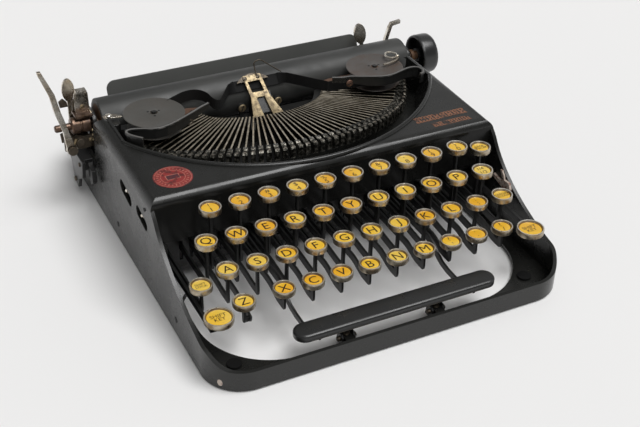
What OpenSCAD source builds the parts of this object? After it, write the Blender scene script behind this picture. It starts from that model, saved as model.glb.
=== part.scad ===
// Portable four-bank manual typewriter with a round typebar bowl.
// Drawn with the front rail at y = 0 and the feet on z = 0, then moved to its base centre.

/* [Body] */
// Half the outer width of the body
body_half_w = 120.8; // [120:0.1:122]
// Outer depth of the body from front rail to rear wall
body_depth = 285; // [283:1:290]
// Sheet thickness of the body shell
shell_t = 2.4; // [2:0.1:2.8]
// Height of the front rail
rail_h = 14.4; // [13:0.1:15]
// Height of the hood's flat top
hood_h = 74; // [73.5:0.1:74.5]
// Front face of the hood behind the number row
hood_front = 100; // [99.5:0.5:101]
// Radius of the front corners in plan
corner_r = 25; // [22:1:27]
// Height of the low rear walls that the carriage passes over
rear_wall_h = 38; // [36:0.5:38]

/* [Bowl] */
// Radius of the bowl's rim
bowl_r = 128; // [127:0.5:129]
// Distance of the bowl's centre behind the front rail
bowl_y = 230.5; // [229:0.5:232]
// Height of the bowl's floor
bowl_floor_z = 50.5; // [50.3:0.1:51]

/* [Keyboard] */
// Spacing between neighbouring keys
key_pitch = 19; // [18.8:0.1:19.2]
// Outer radius of a key's metal ring
key_r = 6.95; // [6.6:0.05:7]
// Height of a key's ring
key_ring_h = 4.2; // [3.8:0.1:4.4]
// Radius of the two wide shift keys
shift_key_r = 8.9; // [8.5:0.1:9]
// Thickness of a key lever
lever_t = 1.6; // [1.2:0.1:1.6]
// Height of the shaft that all key levers turn on
fulcrum_z = 27.8; // [27.6:0.1:28]
// Distance of that shaft behind the front rail
fulcrum_y = 200; // [199:0.5:201]

/* [Typebars] */
// Number of typebars in the fan
typebar_count = 53; // [31:2:53]
// Thickness of a typebar
typebar_t = 1.2; // [1:0.1:1.3]

/* [Carriage] */
// Radius of the rubber platen
platen_r = 15.5; // [15:0.1:15.6]
// Height of the platen's axis
platen_z = 58; // [57.8:0.1:58.4]
// Distance of the platen's axis behind the front rail
platen_y = 232; // [232:0.1:233]
// Left end of the platen
platen_left = -112; // [-113:0.5:-111]
// Right end of the platen
platen_right = 124; // [123:0.5:125]
// Radius of the platen knob
knob_r = 15; // [13:0.5:15.5]

/* [Ribbon] */
// Radius of a ribbon spool's upper flange
spool_r = 20.5; // [19:0.1:20.7]
// Distance of each spool from the middle
spool_x = 83; // [82.5:0.1:83.5]
// Distance of the spools behind the front rail
spool_y = 198; // [197.5:0.1:198.2]

/* [Hidden] */
$fn = 64;

// Small step that makes cuts run past a face
eps = 0.01;
// Offset that brings the base centre of the whole object to the origin
origin_x = 0;
origin_y = body_depth / 2;
// Underside of the body, and the top of its bottom flange
base_z = 1.2;
flange_z = 3.2;
// Radial gap of a turning fit
run_fit = 0.05;

// Each row: distance behind the rail, ring height, first key's x, names, height of the stem's foot
ROW_1 = [85.2, 71.6, -88.7, ["1", "2", "3", "4", "5", "6", "7", "8", "9", "0"], 25.2];
ROW_2 = [67.2, 61.8, -98.7, ["q", "w", "e", "r", "t", "y", "u", "i", "o", "p", "fraction"], 25.2];
ROW_3 = [52, 50.2, -92, ["a", "s", "d", "f", "g", "h", "j", "k", "l", "semicolon"], 24];
ROW_4 = [36, 38.2, -63.1, ["x", "c", "v", "b", "n", "m", "comma", "period", "slash"], 21.3];
// The z key stands apart, and its lever runs beside its stem
Z_KEY = ["key_z", -89.2, 34.4, 38.2, -85.6, 21.3];
function row_keys(row) = [
    for (i = [0 : len(row[3]) - 1])
        [str("key_", row[3][i]), row[2] + i * key_pitch, row[0], row[1], row[2] + i * key_pitch, row[4]]
];
// Every type key: name, ring centre x, y, z, its lever's x, and the height of its stem's foot
TYPE_KEYS = concat(row_keys(ROW_1), row_keys(ROW_2), row_keys(ROW_3), [Z_KEY], row_keys(ROW_4));
SHIFT_LOCK = ["shift_lock_key", -108.8, 51.3, 44, -108.8, 24];
BACK_SPACER = ["back_spacer_key", 101.5, 86.3, 66, 101.5, 25.2];
MARGIN_RELEASE = ["margin_release_key", 97.8, 52, 50.2, 97.8, 24];
// Shift keys stand at this x, y and z on either side, and their arms run outside them
shift_key_x = 106.7;
shift_key_y = 29.8;
shift_key_z = 35.6;
shift_arm_x = 111.5;
shift_arm_t = 2;
shift_z0 = 25.5;
shift_z1 = 30;
// Space bar arms run in the wide lanes between key levers
space_arm_left = -57.4;
space_arm_right = 47.6;
// Bottom and top of the key levers, and the end of their tails
lever_z0 = 25.2;
lever_z1 = 30.4;
lever_tail = 4.5;
key_cup_h = 0.8;
fulcrum_r = 2;
LANES = concat([for (k = TYPE_KEYS) k[4]], [SHIFT_LOCK[4], BACK_SPACER[4], MARGIN_RELEASE[4]]);

// Height of the side walls' top edge at distance y behind the rail
sweep_start = 22;
sweep_len = 79;
function smooth(t) = t <= 0 ? 0 : t >= 1 ? 1 : t * t * (3 - 2 * t);
// Points of a strip of width 2d on one side of a run of plan points
function strip_side(P, d) = [
    for (i = [0 : len(P) - 1])
        let (a = P[max(i - 1, 0)], b = P[min(i + 1, len(P) - 1)], n = norm(b - a))
            [P[i][0] - d * (b[1] - a[1]) / n, P[i][1] + d * (b[0] - a[0]) / n]
];
function back(P) = [for (i = [len(P) - 1 : -1 : 0]) P[i]];
function side_top(y) = y < sweep_start
    ? rail_h + 8.4 * smooth((y - 4) / (sweep_start - 4))
    : 22.8 + 0.17 * (y - sweep_start)
        + 43 * (1 - sqrt(max(0, 1 - pow((y - sweep_start) / sweep_len, 2))));

// Moves a piece from the drawing frame to the base centre
module placed() translate([-origin_x, -origin_y, 0]) children();

// Extrudes a (y, z) outline along x from x0 to x1
module along_x(x0, x1) translate([x0, 0, 0]) rotate([90, 0, 90]) linear_extrude(x1 - x0) children();

// Extrudes an (x, z) outline along y from y0 to y1
module along_y(y0, y1) translate([0, y1, 0]) rotate([90, 0, 0]) linear_extrude(y1 - y0) children();

// Cylinder along x through the point (y, z)
module rod_x(x0, x1, y, z, r) translate([x0, y, z]) rotate([0, 90, 0]) cylinder(h = x1 - x0, r = r);

// Cylinder along y through the point (x, z)
module rod_y(y0, y1, x, z, r) translate([x, y0, z]) rotate([-90, 0, 0]) cylinder(h = y1 - y0, r = r);

// Strip of thickness t that follows plan points
module strip(P, t) polygon(concat(strip_side(P, t / 2), back(strip_side(P, -t / 2))));

module box(x0, x1, y0, y1, z0, z1) translate([x0, y0, z0]) cube([x1 - x0, y1 - y0, z1 - z0]);

module rounded_rect(half_w, y0, y1, front_r, rear_r) {
    translate([-half_w, y0 + front_r]) square([2 * half_w, y1 - y0 - front_r - rear_r]);
    translate([front_r - half_w, y0]) square([2 * (half_w - front_r), front_r + eps]);
    translate([rear_r - half_w, y1 - rear_r - eps]) square([2 * (half_w - rear_r), rear_r + eps]);
    for (s = [-1, 1]) {
        translate([s * (half_w - front_r), y0 + front_r]) circle(r = front_r);
        translate([s * (half_w - rear_r), y1 - rear_r]) circle(r = rear_r);
    }
}

// (x, z) section with round shoulders
module shoulder_rect(half_w, top, r) {
    translate([-half_w, 0]) square([2 * half_w, top - r]);
    translate([r - half_w, 0]) square([2 * (half_w - r), top]);
    for (s = [-1, 1]) translate([s * (half_w - r), top - r]) circle(r = r);
}

/* Body */
rear_r = 16;
shoulder_r = 8;
hood_edge_r = 6.5;
ear_y = 214;
hood_wall_z = 42;
// The bowl's opening stays this far inside the walls, so the ears beside the carriage stand
ear_in = 113.5;
opening_half_w = 108.5;
opening_y0 = 13.3;
opening_y1 = 262;
opening_front_r = 46.5;
opening_rear_r = 20;
FEET = [[-101, 22], [101, 22], [-106, 268], [106, 268]];
foot_r = 6.5;
rivet_r = 2.5;
rivet_head_r = 4.5;

module body_side_outline() polygon(concat(
    [[0, base_z], [0, rail_h]],
    [for (y = [3 : 3 : 96]) [y, side_top(y)]],
    [for (a = [0 : 15 : 90]) [hood_front + hood_edge_r * (1 - cos(a)), hood_h - hood_edge_r * (1 - sin(a))]],
    [[201, hood_h], [205, 73.4], [208.6, 71.6], [211.4, 68.8], [213.2, 65.2]],
    [[ear_y, 60], [ear_y, rear_wall_h], [body_depth, rear_wall_h], [body_depth, base_z]]
));

module hood_cavity_outline() polygon([
    [hood_front - eps, flange_z], [hood_front - eps, hood_wall_z],
    [hood_front + shell_t, hood_wall_z], [hood_front + shell_t, hood_h - shell_t],
    [body_depth - shell_t, hood_h - shell_t], [body_depth - shell_t, flange_z]
]);

module body_block() intersection() {
    linear_extrude(hood_h + 1) rounded_rect(body_half_w, 0, body_depth, corner_r, rear_r);
    along_x(-body_half_w, body_half_w) body_side_outline();
    along_y(0, body_depth) shoulder_rect(body_half_w, hood_h, shoulder_r);
}

module body_cavity() intersection() {
    translate([0, 0, flange_z]) linear_extrude(100)
        rounded_rect(body_half_w - shell_t, shell_t, body_depth - shell_t, corner_r - shell_t, rear_r - shell_t);
    union() {
        box(-body_half_w, body_half_w, 0, hood_front, 0, 100);
        intersection() {
            along_x(-body_half_w, body_half_w) hood_cavity_outline();
            along_y(0, body_depth) shoulder_rect(body_half_w - shell_t, hood_h - shell_t, shoulder_r - shell_t);
        }
    }
}

// Long slot through the left wall, centred at (y, z)
module wall_slot(y, z, length, height, tilt) {
    along_x(-body_half_w - 1, shell_t - body_half_w + 1) translate([y, z]) rotate(tilt) {
        square([length - height, height], center = true);
        for (s = [-1, 1]) translate([s * (length - height) / 2, 0]) circle(d = height);
    }
}

module bowl_ring() intersection() {
    translate([0, bowl_y, 0]) rotate_extrude($fn = 160) {
        polygon([
            [60, bowl_floor_z], [119.5, bowl_floor_z], [bowl_r, hood_h - 1], [bowl_r, hood_h + 0.6],
            [bowl_r - 1.6, hood_h + 0.6], [bowl_r - 1.6, hood_h - 2], [118.5, bowl_floor_z + 1.5],
            [60, bowl_floor_z + 1.5]
        ]);
        translate([bowl_r - 0.4, hood_h]) circle(r = 1.6);
    }
    box(-ear_in - 0.1, ear_in + 0.1, 95, 202, 40, 90);
}

// Straight ends of the bowl's rim beside the ears
module rim_end(side) {
    x = side * ear_in;
    box(min(x, x - side * 1.3) - 0.15, max(x, x - side * 1.3) + 0.15, 171.5, 203, 54, hood_h + 1.2);
}

module body_shell() placed() color([0.09, 0.09, 0.095]) {
    difference() {
        body_block();
        body_cavity();
        intersection() {
            translate([0, bowl_y, bowl_floor_z + 5]) cylinder(h = 60, r = bowl_r - 1, $fn = 160);
            box(-ear_in, ear_in, 0, 300, 0, 200);
        }
        linear_extrude(10) rounded_rect(opening_half_w, opening_y0, opening_y1, opening_front_r, opening_rear_r);
        wall_slot(148, 52, 22, 9, 11);
        wall_slot(118, 51.5, 20, 8, 11);
        rod_x(-body_half_w - 1, shell_t - body_half_w + 1, 111, 62, 1.4);
        for (f = FEET) translate([f[0], f[1], 0]) cylinder(h = 10, r = rivet_r);
    }
    bowl_ring();
    for (s = [-1, 1]) rim_end(s);
    // Rest blocks under the space bar on the front rail
    for (x = [-33.5, 28]) box(x - 3, x + 3, shell_t - eps, 16, flange_z - eps, 11);
}

module rubber_feet() placed() color([0.12, 0.12, 0.12]) for (f = FEET) translate([f[0], f[1], 0]) {
    cylinder(h = base_z, r = foot_r);
    cylinder(h = flange_z + 1, r = rivet_r - run_fit);
    translate([0, 0, flange_z]) cylinder(h = 1.4, r = rivet_head_r);
}

/* Inner frame */
plate_x0 = 113;
plate_x1 = 115.5;
plate_y0 = 95;
plate_y1 = 268;
plate_z1 = 50;
comb_y = 112;
comb_t = 1.5;
comb_z0 = 12;
comb_z1 = 38;
comb_slot_z0 = 17.5;
comb_slot_z1 = 31.4;
slot_gap = 0.3;
segment_y = 232.5;
segment_r0 = 47;
segment_r1 = 57;
segment_z = 57;
bridge_z0 = 46;
cup_z = 62.4;
cup_r = 14.5;
cup_t = 0.8;
spool_pin_r = 1.5;
// The type guide leans back by 45 degrees; its front face rises from this edge
guide_y = 200;
guide_z = 53.6;
guide_t = 1.5;
truck_half_w = 55;
bar_y0 = 254;
bar_y1 = 264;
bar_z0 = 39;
bar_z1 = 45;
groove_z = 42.2;
side_gap = 0.3;

module frame_side_plate(x0) {
    box(x0, x0 + plate_x1 - plate_x0, plate_y0, 108, flange_z, hood_wall_z - 0.6);
    box(x0, x0 + plate_x1 - plate_x0, 108 - eps, ear_y, flange_z, plate_z1);
    box(x0, x0 + plate_x1 - plate_x0, ear_y - eps, plate_y1, flange_z, rear_wall_h - 1);
}

module key_comb() difference() {
    box(-plate_x0 - eps, plate_x0 + eps, comb_y, comb_y + comb_t, comb_z0, comb_z1);
    for (x = LANES)
        box(x - lever_t / 2 - slot_gap, x + lever_t / 2 + slot_gap, comb_y - 1, comb_y + 3, comb_slot_z0, comb_slot_z1);
    for (x = [space_arm_left, space_arm_right])
        box(x - lever_t / 2 - slot_gap, x + lever_t / 2 + slot_gap, comb_y - 1, comb_y + 3, comb_slot_z0, comb_slot_z1);
    for (s = [-1, 1])
        box(s * shift_arm_x - 1.5, s * shift_arm_x + 1.5 + eps, comb_y - 1, comb_y + 3, comb_slot_z0, comb_slot_z1);
}

// Plan points of the curved shields in front of the spools, from the outer curl to the inner end
GUARD_LEFT = [
    [-102.5, 163], [-105.6, 166.2], [-108.2, 169.4], [-109.8, 172.8], [-109, 175.6], [-105.6, 176.4], [-100, 174.8],
    [-91, 171.2], [-83, 171.8], [-77, 174], [-70, 177.4], [-62, 181.6], [-54, 186], [-48, 188.8]
];
GUARD_RIGHT = [
    [103.5, 168.5], [106.5, 170], [108, 173.5], [107.2, 177.6], [103.5, 179.8], [98, 179.4], [92, 177.6],
    [86, 175.8], [79, 175.6], [72, 177.8], [64, 181.2], [57, 184.4], [50, 185.6], [44, 188]
];
guard_z0 = 72;
guard_z1 = 79.5;
guard_t = 1;
// Bracket behind each shield's outer curl, from the shield back to the cup's arm, as (y, z)
BRACKET = [[174.6, 78], [174.6, 72.5], [184, 66.4], [198, 63], [203, cup_z], [208, cup_z], [208, 64], [196, 68], [180, 78]];
bracket_t = 1;

module spool_guard(P, side) {
    difference() {
        translate([0, 0, guard_z0]) linear_extrude(guard_z1 - guard_z0) strip(P, guard_t);
        // The shield gets lower towards its inner end
        along_y(160, 200) polygon([
            [side * 69, guard_z0 - 1], [side * 69, guard_z0], [side * 50, guard_z1 - 4],
            [side * 38, guard_z1 - 4], [side * 38, guard_z0 - 1]
        ]);
    }
    translate([0, 0, guard_z1 - 1.2]) linear_extrude(1.2) strip(P, 2);
    bx = side < 0 ? -109.2 : 107;
    along_x(bx, bx + bracket_t) polygon(BRACKET);
}

// Plate that runs from each cup towards the middle, over the ends of the outer typebars
CUP_PLATE = [
    [76, 196], [66, 200], [56, 204], [48, 205.5], [44.5, 207.5], [43.5, 210], [47, 212.5], [54, 214.5], [76, 214.5]
];

module spool_cup(side) {
    translate([0, 0, cup_z]) linear_extrude(cup_t) polygon([for (p = CUP_PLATE) [side * p[0], p[1]]]);
    difference() {
        translate([side * spool_x, spool_y, cup_z]) cylinder(h = cup_t, r = cup_r);
        // The floor stops ahead of the platen
        box(-120, 120, 215.4, 240, 50, 90);
    }
    translate([side * spool_x, spool_y, cup_z]) cylinder(h = spool_z0 - 0.1 - cup_z, r = 4);
    translate([side * spool_x, spool_y, cup_z]) cylinder(h = spool_z1 + 0.8 - cup_z, r = spool_pin_r);
    // Arm from the side plate to the cup
    box(min(side * 88, side * plate_x1), max(side * 88, side * plate_x1), 205, 211, cup_z, cup_z + cup_t);
    box(
        min(side * plate_x0, side * plate_x1), max(side * plate_x0, side * plate_x1),
        205, 211, plate_z1 - eps, cup_z + cup_t
    );
}

module type_segment() difference() {
    intersection() {
        translate([0, segment_y, bridge_z0]) cylinder(h = segment_z - bridge_z0, r = segment_r1, $fn = 96);
        box(-80, 80, 150, ear_y, 40, 70);
    }
    translate([0, segment_y, bridge_z0 - 1]) cylinder(h = 20, r = segment_r0, $fn = 96);
}

module carriage_guide() difference() {
    union() {
        box(-plate_x0 - eps, plate_x0 + eps, 250.5, 267.5, 24, 30);
        box(-truck_half_w, truck_half_w, 250.5, 267.5, 29, 44);
    }
    box(-truck_half_w - 1, truck_half_w + 1, bar_y0 - side_gap, bar_y1 + side_gap, bar_z0 - side_gap, 60);
}

module guide_ridges() for (y = [bar_y0 - side_gap - eps, bar_y1 - 1.2 + side_gap])
    box(-truck_half_w, truck_half_w, y, y + 1.2 + eps, groove_z - 0.6, groove_z + 0.6);

module main_frame() placed() color([0.13, 0.13, 0.13]) {
    frame_side_plate(-plate_x1);
    frame_side_plate(plate_x0);
    box(-plate_x0 - eps, plate_x0 + eps, 200, ear_y, bridge_z0, plate_z1);
    type_segment();
    // Block that the type guide slides on
    along_x(-8, 8) polygon([[203, plate_z1 - 1], [213.5, plate_z1 - 1], [213.5, 64.6], [203, 54.1]]);
    rod_x(-plate_x1, plate_x1, fulcrum_y, fulcrum_z, fulcrum_r);
    key_comb();
    carriage_guide();
    guide_ridges();
    spool_guard(GUARD_LEFT, -1);
    spool_guard(GUARD_RIGHT, 1);
    for (s = [-1, 1]) spool_cup(s);
    // Posts with round heads beside the type guide
    for (x = [-15, 12.5]) {
        box(x - 1.5, x + 1.5, 210, 212, plate_z1 - eps, 57.5);
        rod_y(209.3, 212, x, 57.5, 3);
    }
}

/* Typebars */
fan_inner_r = 53;
fan_inner_y = 232.5;
fan_inner_angle = 65;
fan_outer_r = 118;
fan_outer_y = 241.5;
fan_outer_angle = 66;
fan_droop_at = 0.76;
bar_h = 4.5;
slug_w = 3.2;
slug_l = 8;
slug_h = 8.8;

// Position of a bar in the fan runs from -1 to 1
function fan_droop(t) = pow(min(1, abs(t) / fan_droop_at), 2);
function fan_inner(t) = [
    fan_inner_r * sin(fan_inner_angle * t), fan_inner_y - fan_inner_r * cos(fan_inner_angle * t),
    66.5 - 4.6 * fan_droop(t)
];
function fan_outer(t) = [
    fan_outer_r * sin(fan_outer_angle * t), fan_outer_y - fan_outer_r * cos(fan_outer_angle * t),
    72.8 - 10.9 * fan_droop(t)
];

module typebar(t) {
    a = fan_inner(t);
    b = fan_outer(t);
    run = norm([b[0] - a[0], b[1] - a[1]]);
    translate([a[0], a[1], 0]) rotate(atan2(b[1] - a[1], b[0] - a[0])) {
        along_y(-typebar_t / 2, typebar_t / 2) polygon([
            [-1, segment_z], [-1, a[2]], [run - slug_l + 1, b[2] - 0.5], [run - slug_l + 1, b[2] - 0.5 - bar_h],
            [3, a[2] - bar_h], [3, segment_z]
        ]);
        along_y(-slug_w / 2, slug_w / 2) polygon([
            [run - slug_l, b[2] - 0.5], [run - 1, b[2]], [run, b[2] - 1], [run, b[2] - slug_h],
            [run - 3.5, b[2] - slug_h], [run - slug_l, b[2] - 5]
        ]);
    }
}

module typebars() placed() color([0.55, 0.5, 0.38]) {
    for (i = [0 : typebar_count - 1]) typebar(2 * i / (typebar_count - 1) - 1);
}

/* Ribbon */
flange_t = 0.8;
spool_z0 = 64.6;
spool_z1 = 75.5;
lower_flange_r = 18.5;
winding_r = 8;
ribbon_z0 = 66.3;
ribbon_w = 8;
ribbon_t = 0.5;

module ribbon_spool(side) translate([side * spool_x, spool_y, 0]) difference() {
    union() {
        translate([0, 0, spool_z0]) cylinder(h = flange_t, r = lower_flange_r);
        translate([0, 0, spool_z0]) cylinder(h = spool_z1 - spool_z0, r = winding_r);
        translate([0, 0, spool_z1 - flange_t]) cylinder(h = flange_t, r = spool_r);
    }
    translate([0, 0, 60]) cylinder(h = 20, r = spool_pin_r + run_fit);
    // Three drive holes round the hub
    for (a = [0 : 120 : 240]) rotate(a) translate([4.2, 0, 60]) cylinder(h = 20, r = 0.9);
}

module ribbon_spool_left() placed() color([0.36, 0.36, 0.35]) ribbon_spool(-1);
module ribbon_spool_right() placed() color([0.34, 0.31, 0.3]) ribbon_spool(1);

// In the middle the ribbon leans along the platen; on either side it twists upright in a few steps
ribbon_y = 217;
twist_steps = 5;
twist_x0 = 15.4;
twist_dx = 1.2;
// On the left it hangs in a slack loop and reaches its spool from behind; on the right it is taut
RIBBON_LEFT = [
    [-20.6, 217], [-22.9, 215.8], [-34, 200.5], [-36.5, 198.4], [-39, 198.8], [-40.6, 202], [-41, 207],
    [-43, 212], [-46.5, 215.4], [-51, 216.6], [-57, 215.6], [-66, 211.6], [-82, 206.5]
];
RIBBON_RIGHT = [[20.6, 217], [22.9, 215.8], [42, 194.2], [45, 192.2], [82, 189.5]];

module ribbon_piece(x0, x1, lean) translate([x0, ribbon_y, ribbon_z0]) rotate([-lean, 0, 0])
    translate([0, -ribbon_t / 2, 0]) cube([x1 - x0, ribbon_t, ribbon_w]);

module ribbon() placed() color([0.05, 0.05, 0.055]) {
    ribbon_piece(-twist_x0, twist_x0, 45);
    for (i = [0 : twist_steps - 1]) {
        x = twist_x0 + i * twist_dx;
        ribbon_piece(x - 0.3, x + twist_dx + 0.3, 36 - 9 * i);
        ribbon_piece(-x - twist_dx - 0.3, 0.3 - x, 36 - 9 * i);
    }
    for (P = [RIBBON_LEFT, RIBBON_RIGHT])
        translate([0, 0, ribbon_z0]) linear_extrude(ribbon_w) strip(P, ribbon_t);
}

module type_guide() placed() color([0.62, 0.56, 0.4]) translate([0, guide_y, guide_z]) rotate([-45, 0, 0]) {
    along_y(0, guide_t) difference() {
        polygon([[-9.5, 30.5], [4, 30.5], [6.2, 14.5], [12.4, 0], [-10.4, 0], [-7.8, 14.5]]);
        // Window that the type strikes through, and the slot below it
        polygon([[-7, 26], [2.2, 26], [3.4, 17.7], [-5.8, 17.7]]);
        polygon([[-3.8, 13.8], [2.4, 13.8], [4.6, -1], [-2.2, -1]]);
    }
    // Card holder with a round top
    along_y(0.6, 2.2) translate([-2.6, 0]) intersection() {
        translate([0, 16]) circle(r = 16);
        translate([-13, 26.6]) square([26, 6]);
    }
}

/* Carriage */
end_left_x = -117;
end_right_x = 126.5;
end_t = 2.5;
shaft_r = 2.5;
shaft_left = -142;
knob_x0 = 137.5;
knob_x1 = 151;
release_y = 249.5;
release_z = 50;
release_r = 1.5;
lever_pivot_x = -133.5;
lever_pivot_z = 45;
lever_pin_r = 1.8;
lever_y0 = 222.5;
lever_y1 = 225.5;

module end_plate(x0) difference() {
    along_x(x0, x0 + end_t) {
        translate([platen_y, platen_z]) circle(r = 9);
        // The foot stands on the bar and clears the guide below it
        polygon([
            [platen_y - 8.2, 54.2], [244, 44.6], [bar_y0, 44.6], [bar_y0, bar_z0], [bar_y1, bar_z0],
            [bar_y1, bar_z1], [254, 56], [244, 65], [platen_y + 1, platen_z + 8.9]
        ]);
    }
    rod_x(x0 - 1, x0 + end_t + 1, platen_y, platen_z, shaft_r + run_fit);
    rod_x(x0 - 1, x0 + end_t + 1, release_y, release_z, release_r + run_fit);
}

module carriage_frame() placed() color([0.16, 0.15, 0.14]) {
    difference() {
        union() {
            box(end_left_x, end_right_x + end_t, bar_y0, bar_y1, bar_z0, bar_z1);
            end_plate(end_left_x);
            end_plate(end_right_x);
        }
        for (y = [bar_y0 - 1, bar_y1 - 1.5])
            box(end_left_x - 1, end_right_x + 10, y, y + 2.5, groove_z - 1, groove_z + 1);
    }
    // Lug that carries the right end of the carriage release shaft
    difference() {
        union() {
            box(96.5, 99, 247.3, 258, 45 - eps, 52.4);
            box(96.5, 99, bar_y0, 258, bar_z1 - eps, 47);
        }
        rod_x(95, 100, release_y, release_z, release_r + run_fit);
    }
    // Shelf and upright plates at the left end
    box(-128, end_left_x + 1, 227, 238, 65, 66.5);
    along_y(233, 234.4) polygon([
        [-126.5, 66], [-126.5, 80], [-124, 84], [-118.5, 84], [-117, 80], [-116.5, 66]
    ]);
    box(-125.5, -118.5, 229.5, 234.4, 82.6, 84);
    // Lug and pin of the return lever
    box(lever_pivot_x - 3.5, end_left_x + 1, 228, 230.5, 41.5, 50.5);
    box(end_left_x, end_left_x + end_t, 228, 246, 41.5, 50.5);
    rod_y(221, 230, lever_pivot_x, lever_pivot_z, lever_pin_r);
    rod_y(220.4, 221.4, lever_pivot_x, lever_pivot_z, lever_pin_r + 1.4);
}

module platen() placed() color([0.2, 0.2, 0.2]) {
    rod_x(platen_left, platen_right, platen_y, platen_z, platen_r);
    rod_x(shaft_left, knob_x1 - 3, platen_y, platen_z, shaft_r);
    // Ratchet housing outside the left end plate
    rod_x(-131, end_left_x - 0.4, platen_y, platen_z, 5.8);
    // Collar and hollow-backed knob
    rod_x(end_right_x + end_t + 0.4, knob_x0 + 1, platen_y, platen_z, 3.4);
    rod_x(132.5, 135.5, platen_y, platen_z, 4.8);
    difference() {
        rod_x(knob_x0, knob_x1, platen_y, platen_z, knob_r);
        difference() {
            rod_x(knob_x0 - 1, knob_x0 + 7, platen_y, platen_z, knob_r - 2);
            rod_x(knob_x0 - 2, knob_x0 + 8, platen_y, platen_z, 5);
        }
    }
}

table_left = -97;
table_right = 100;
module paper_table() placed() color([0.3, 0.3, 0.3]) {
    // Sheet that leans back behind the platen
    translate([0, 251.2, 53.2]) rotate([-22, 0, 0]) along_y(0, 1.4) {
        translate([table_left, 0]) square([table_right - table_left, 14]);
        translate([table_left + 6, 0]) square([table_right - table_left - 12, 20]);
        for (x = [table_left + 6, table_right - 6]) translate([x, 14]) circle(r = 6);
    }
    for (x = [-62, 58]) along_x(x, x + 4)
        polygon([[256, bar_z1], [262, bar_z1], [260.5, 62], [255.7, 62], [252.8, 54.6], [256, 51]]);
}

module return_lever() placed() color([0.7, 0.66, 0.58]) difference() {
    union() {
        along_y(lever_y0, lever_y1) polygon([
            [-136.6, 43.6], [-138.6, 60], [-142.6, 74], [-145, 88], [-150.8, 104], [-151, 106.4],
            [-148.6, 106.4], [-141.4, 89], [-138.6, 75], [-134.6, 60], [-130.4, 43.2]
        ]);
        rod_y(lever_y0, lever_y1, lever_pivot_x, lever_pivot_z, 3.8);
    }
    rod_y(lever_y0 - 1, lever_y1 + 1, lever_pivot_x, lever_pivot_z, lever_pin_r + run_fit);
}

// Arm with an oval finger pad, standing at x from the release shaft and leaning in the (x, z) plane
module release_arm(x, lean, pad_w) along_y(249, 250.8) translate([x, release_z]) rotate(lean) {
    translate([-1.3, -1]) square([2.6, 21]);
    translate([0, 25.8]) resize([pad_w, 17]) circle(r = 8);
}

module carriage_release() placed() color([0.66, 0.62, 0.55]) {
    rod_x(-128, 105.6, release_y, release_z, release_r);
    release_arm(-126, 0, 8.6);
    release_arm(104, 12, 9.4);
}

module paper_release() placed() color([0.55, 0.5, 0.45]) {
    rod_x(118.8, 131, release_y, release_z, release_r);
    along_y(248.4, 250.8) polygon([
        [118.8, 50], [119.2, 64], [122.6, 76], [124.6, 79.8], [132.6, 80.8],
        [132.6, 78.2], [126, 77.2], [122, 64], [121.6, 50]
    ]);
}

/* Keys */
module lever_bore(x) rod_x(x - 5, x + 5, fulcrum_y, fulcrum_z, fulcrum_r + run_fit);

// Ring and domed underside of one key, with its face at height z
module key_top(x, y, z, r) translate([x, y, 0]) {
    translate([0, 0, z - key_ring_h]) cylinder(h = key_ring_h, r = r);
    translate([0, 0, z - key_ring_h - key_cup_h]) cylinder(h = key_cup_h + eps, r1 = r - 2.2, r2 = r - 0.6);
}

// Upright strip from the key down to the turn at the lever's front end, at height f
module key_stem(x, y, z, f) along_x(x - lever_t / 2, x + lever_t / 2)
    polygon([[y - 1.9, z - 3], [y + 1.9, z - 3], [y + 2, f + 3], [y + 0.8, f], [y - 1, f + 0.2], [y - 1.9, f + 2]]);

// A lever runs level to the rear; from a low foot it first curves up
function lever_rise(f, t) = (lever_z0 - f) * smooth(t);
module key_lever(x, y, f) difference() {
    along_x(x - lever_t / 2, x + lever_t / 2) polygon(concat(
        [[y - 1, f + 0.2], [y + 0.8, f]],
        f < lever_z0 ? [for (i = [0 : 6]) [y + 6 + 3 * i, f + lever_rise(f, i / 6)]] : [],
        [[fulcrum_y + lever_tail, lever_z0], [fulcrum_y + lever_tail, lever_z1]],
        f < lever_z0 ? [for (i = [6 : -1 : 0]) [y + 4 + 3 * i, f + 5.2 + lever_rise(f, i / 6)]] : [],
        [[y + 1.5, f + 5.2], [y - 1.9, f + 4.4], [y - 1.9, f + 2]]
    ));
    lever_bore(x);
}

module key_unit(k) placed() color([0.86, 0.68, 0.2]) {
    key_top(k[1], k[2], k[3], key_r);
    key_stem(k[1], k[2], k[3], k[5]);
    key_lever(k[4], k[2], k[5]);
    // Foot that joins a stem to a lever beside it
    if (k[1] != k[4])
        box(k[1] - lever_t / 2, k[4] + lever_t / 2, k[2] - 0.9, k[2] + 1, k[5] + 0.4, k[5] + 4);
}

module space_bar() placed() color([0.07, 0.07, 0.075]) {
    bar_x = 68;
    translate([0, 0, 18.5]) linear_extrude(5.2) {
        translate([7 - bar_x, 5]) square([2 * (bar_x - 7), 14]);
        for (s = [-1, 1]) translate([s * (bar_x - 7), 12]) circle(r = 7);
    }
    for (x = [space_arm_left, space_arm_right]) {
        difference() {
            along_x(x - lever_t / 2, x + lever_t / 2) polygon([
                [16, 17.4], [24, 16.4], [32, 16.3], [40, 17.6], [46, 20.4], [52, 23.6], [58, 25.2],
                [fulcrum_y + lever_tail, lever_z0], [fulcrum_y + lever_tail, lever_z1],
                [57, 30.4], [50, 28.4], [44, 24.6], [38, 21.6], [31, 20.4], [22, 20.2], [16, 21]
            ]);
            lever_bore(x);
        }
    }
    for (x = [-51.5, 54.7]) along_y(11, 12.5)
        polygon([[x - 3, 18.6], [x + 3, 18.6], [x + 0.6, 12.5], [x - 0.6, 12.5]]);
}

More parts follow.
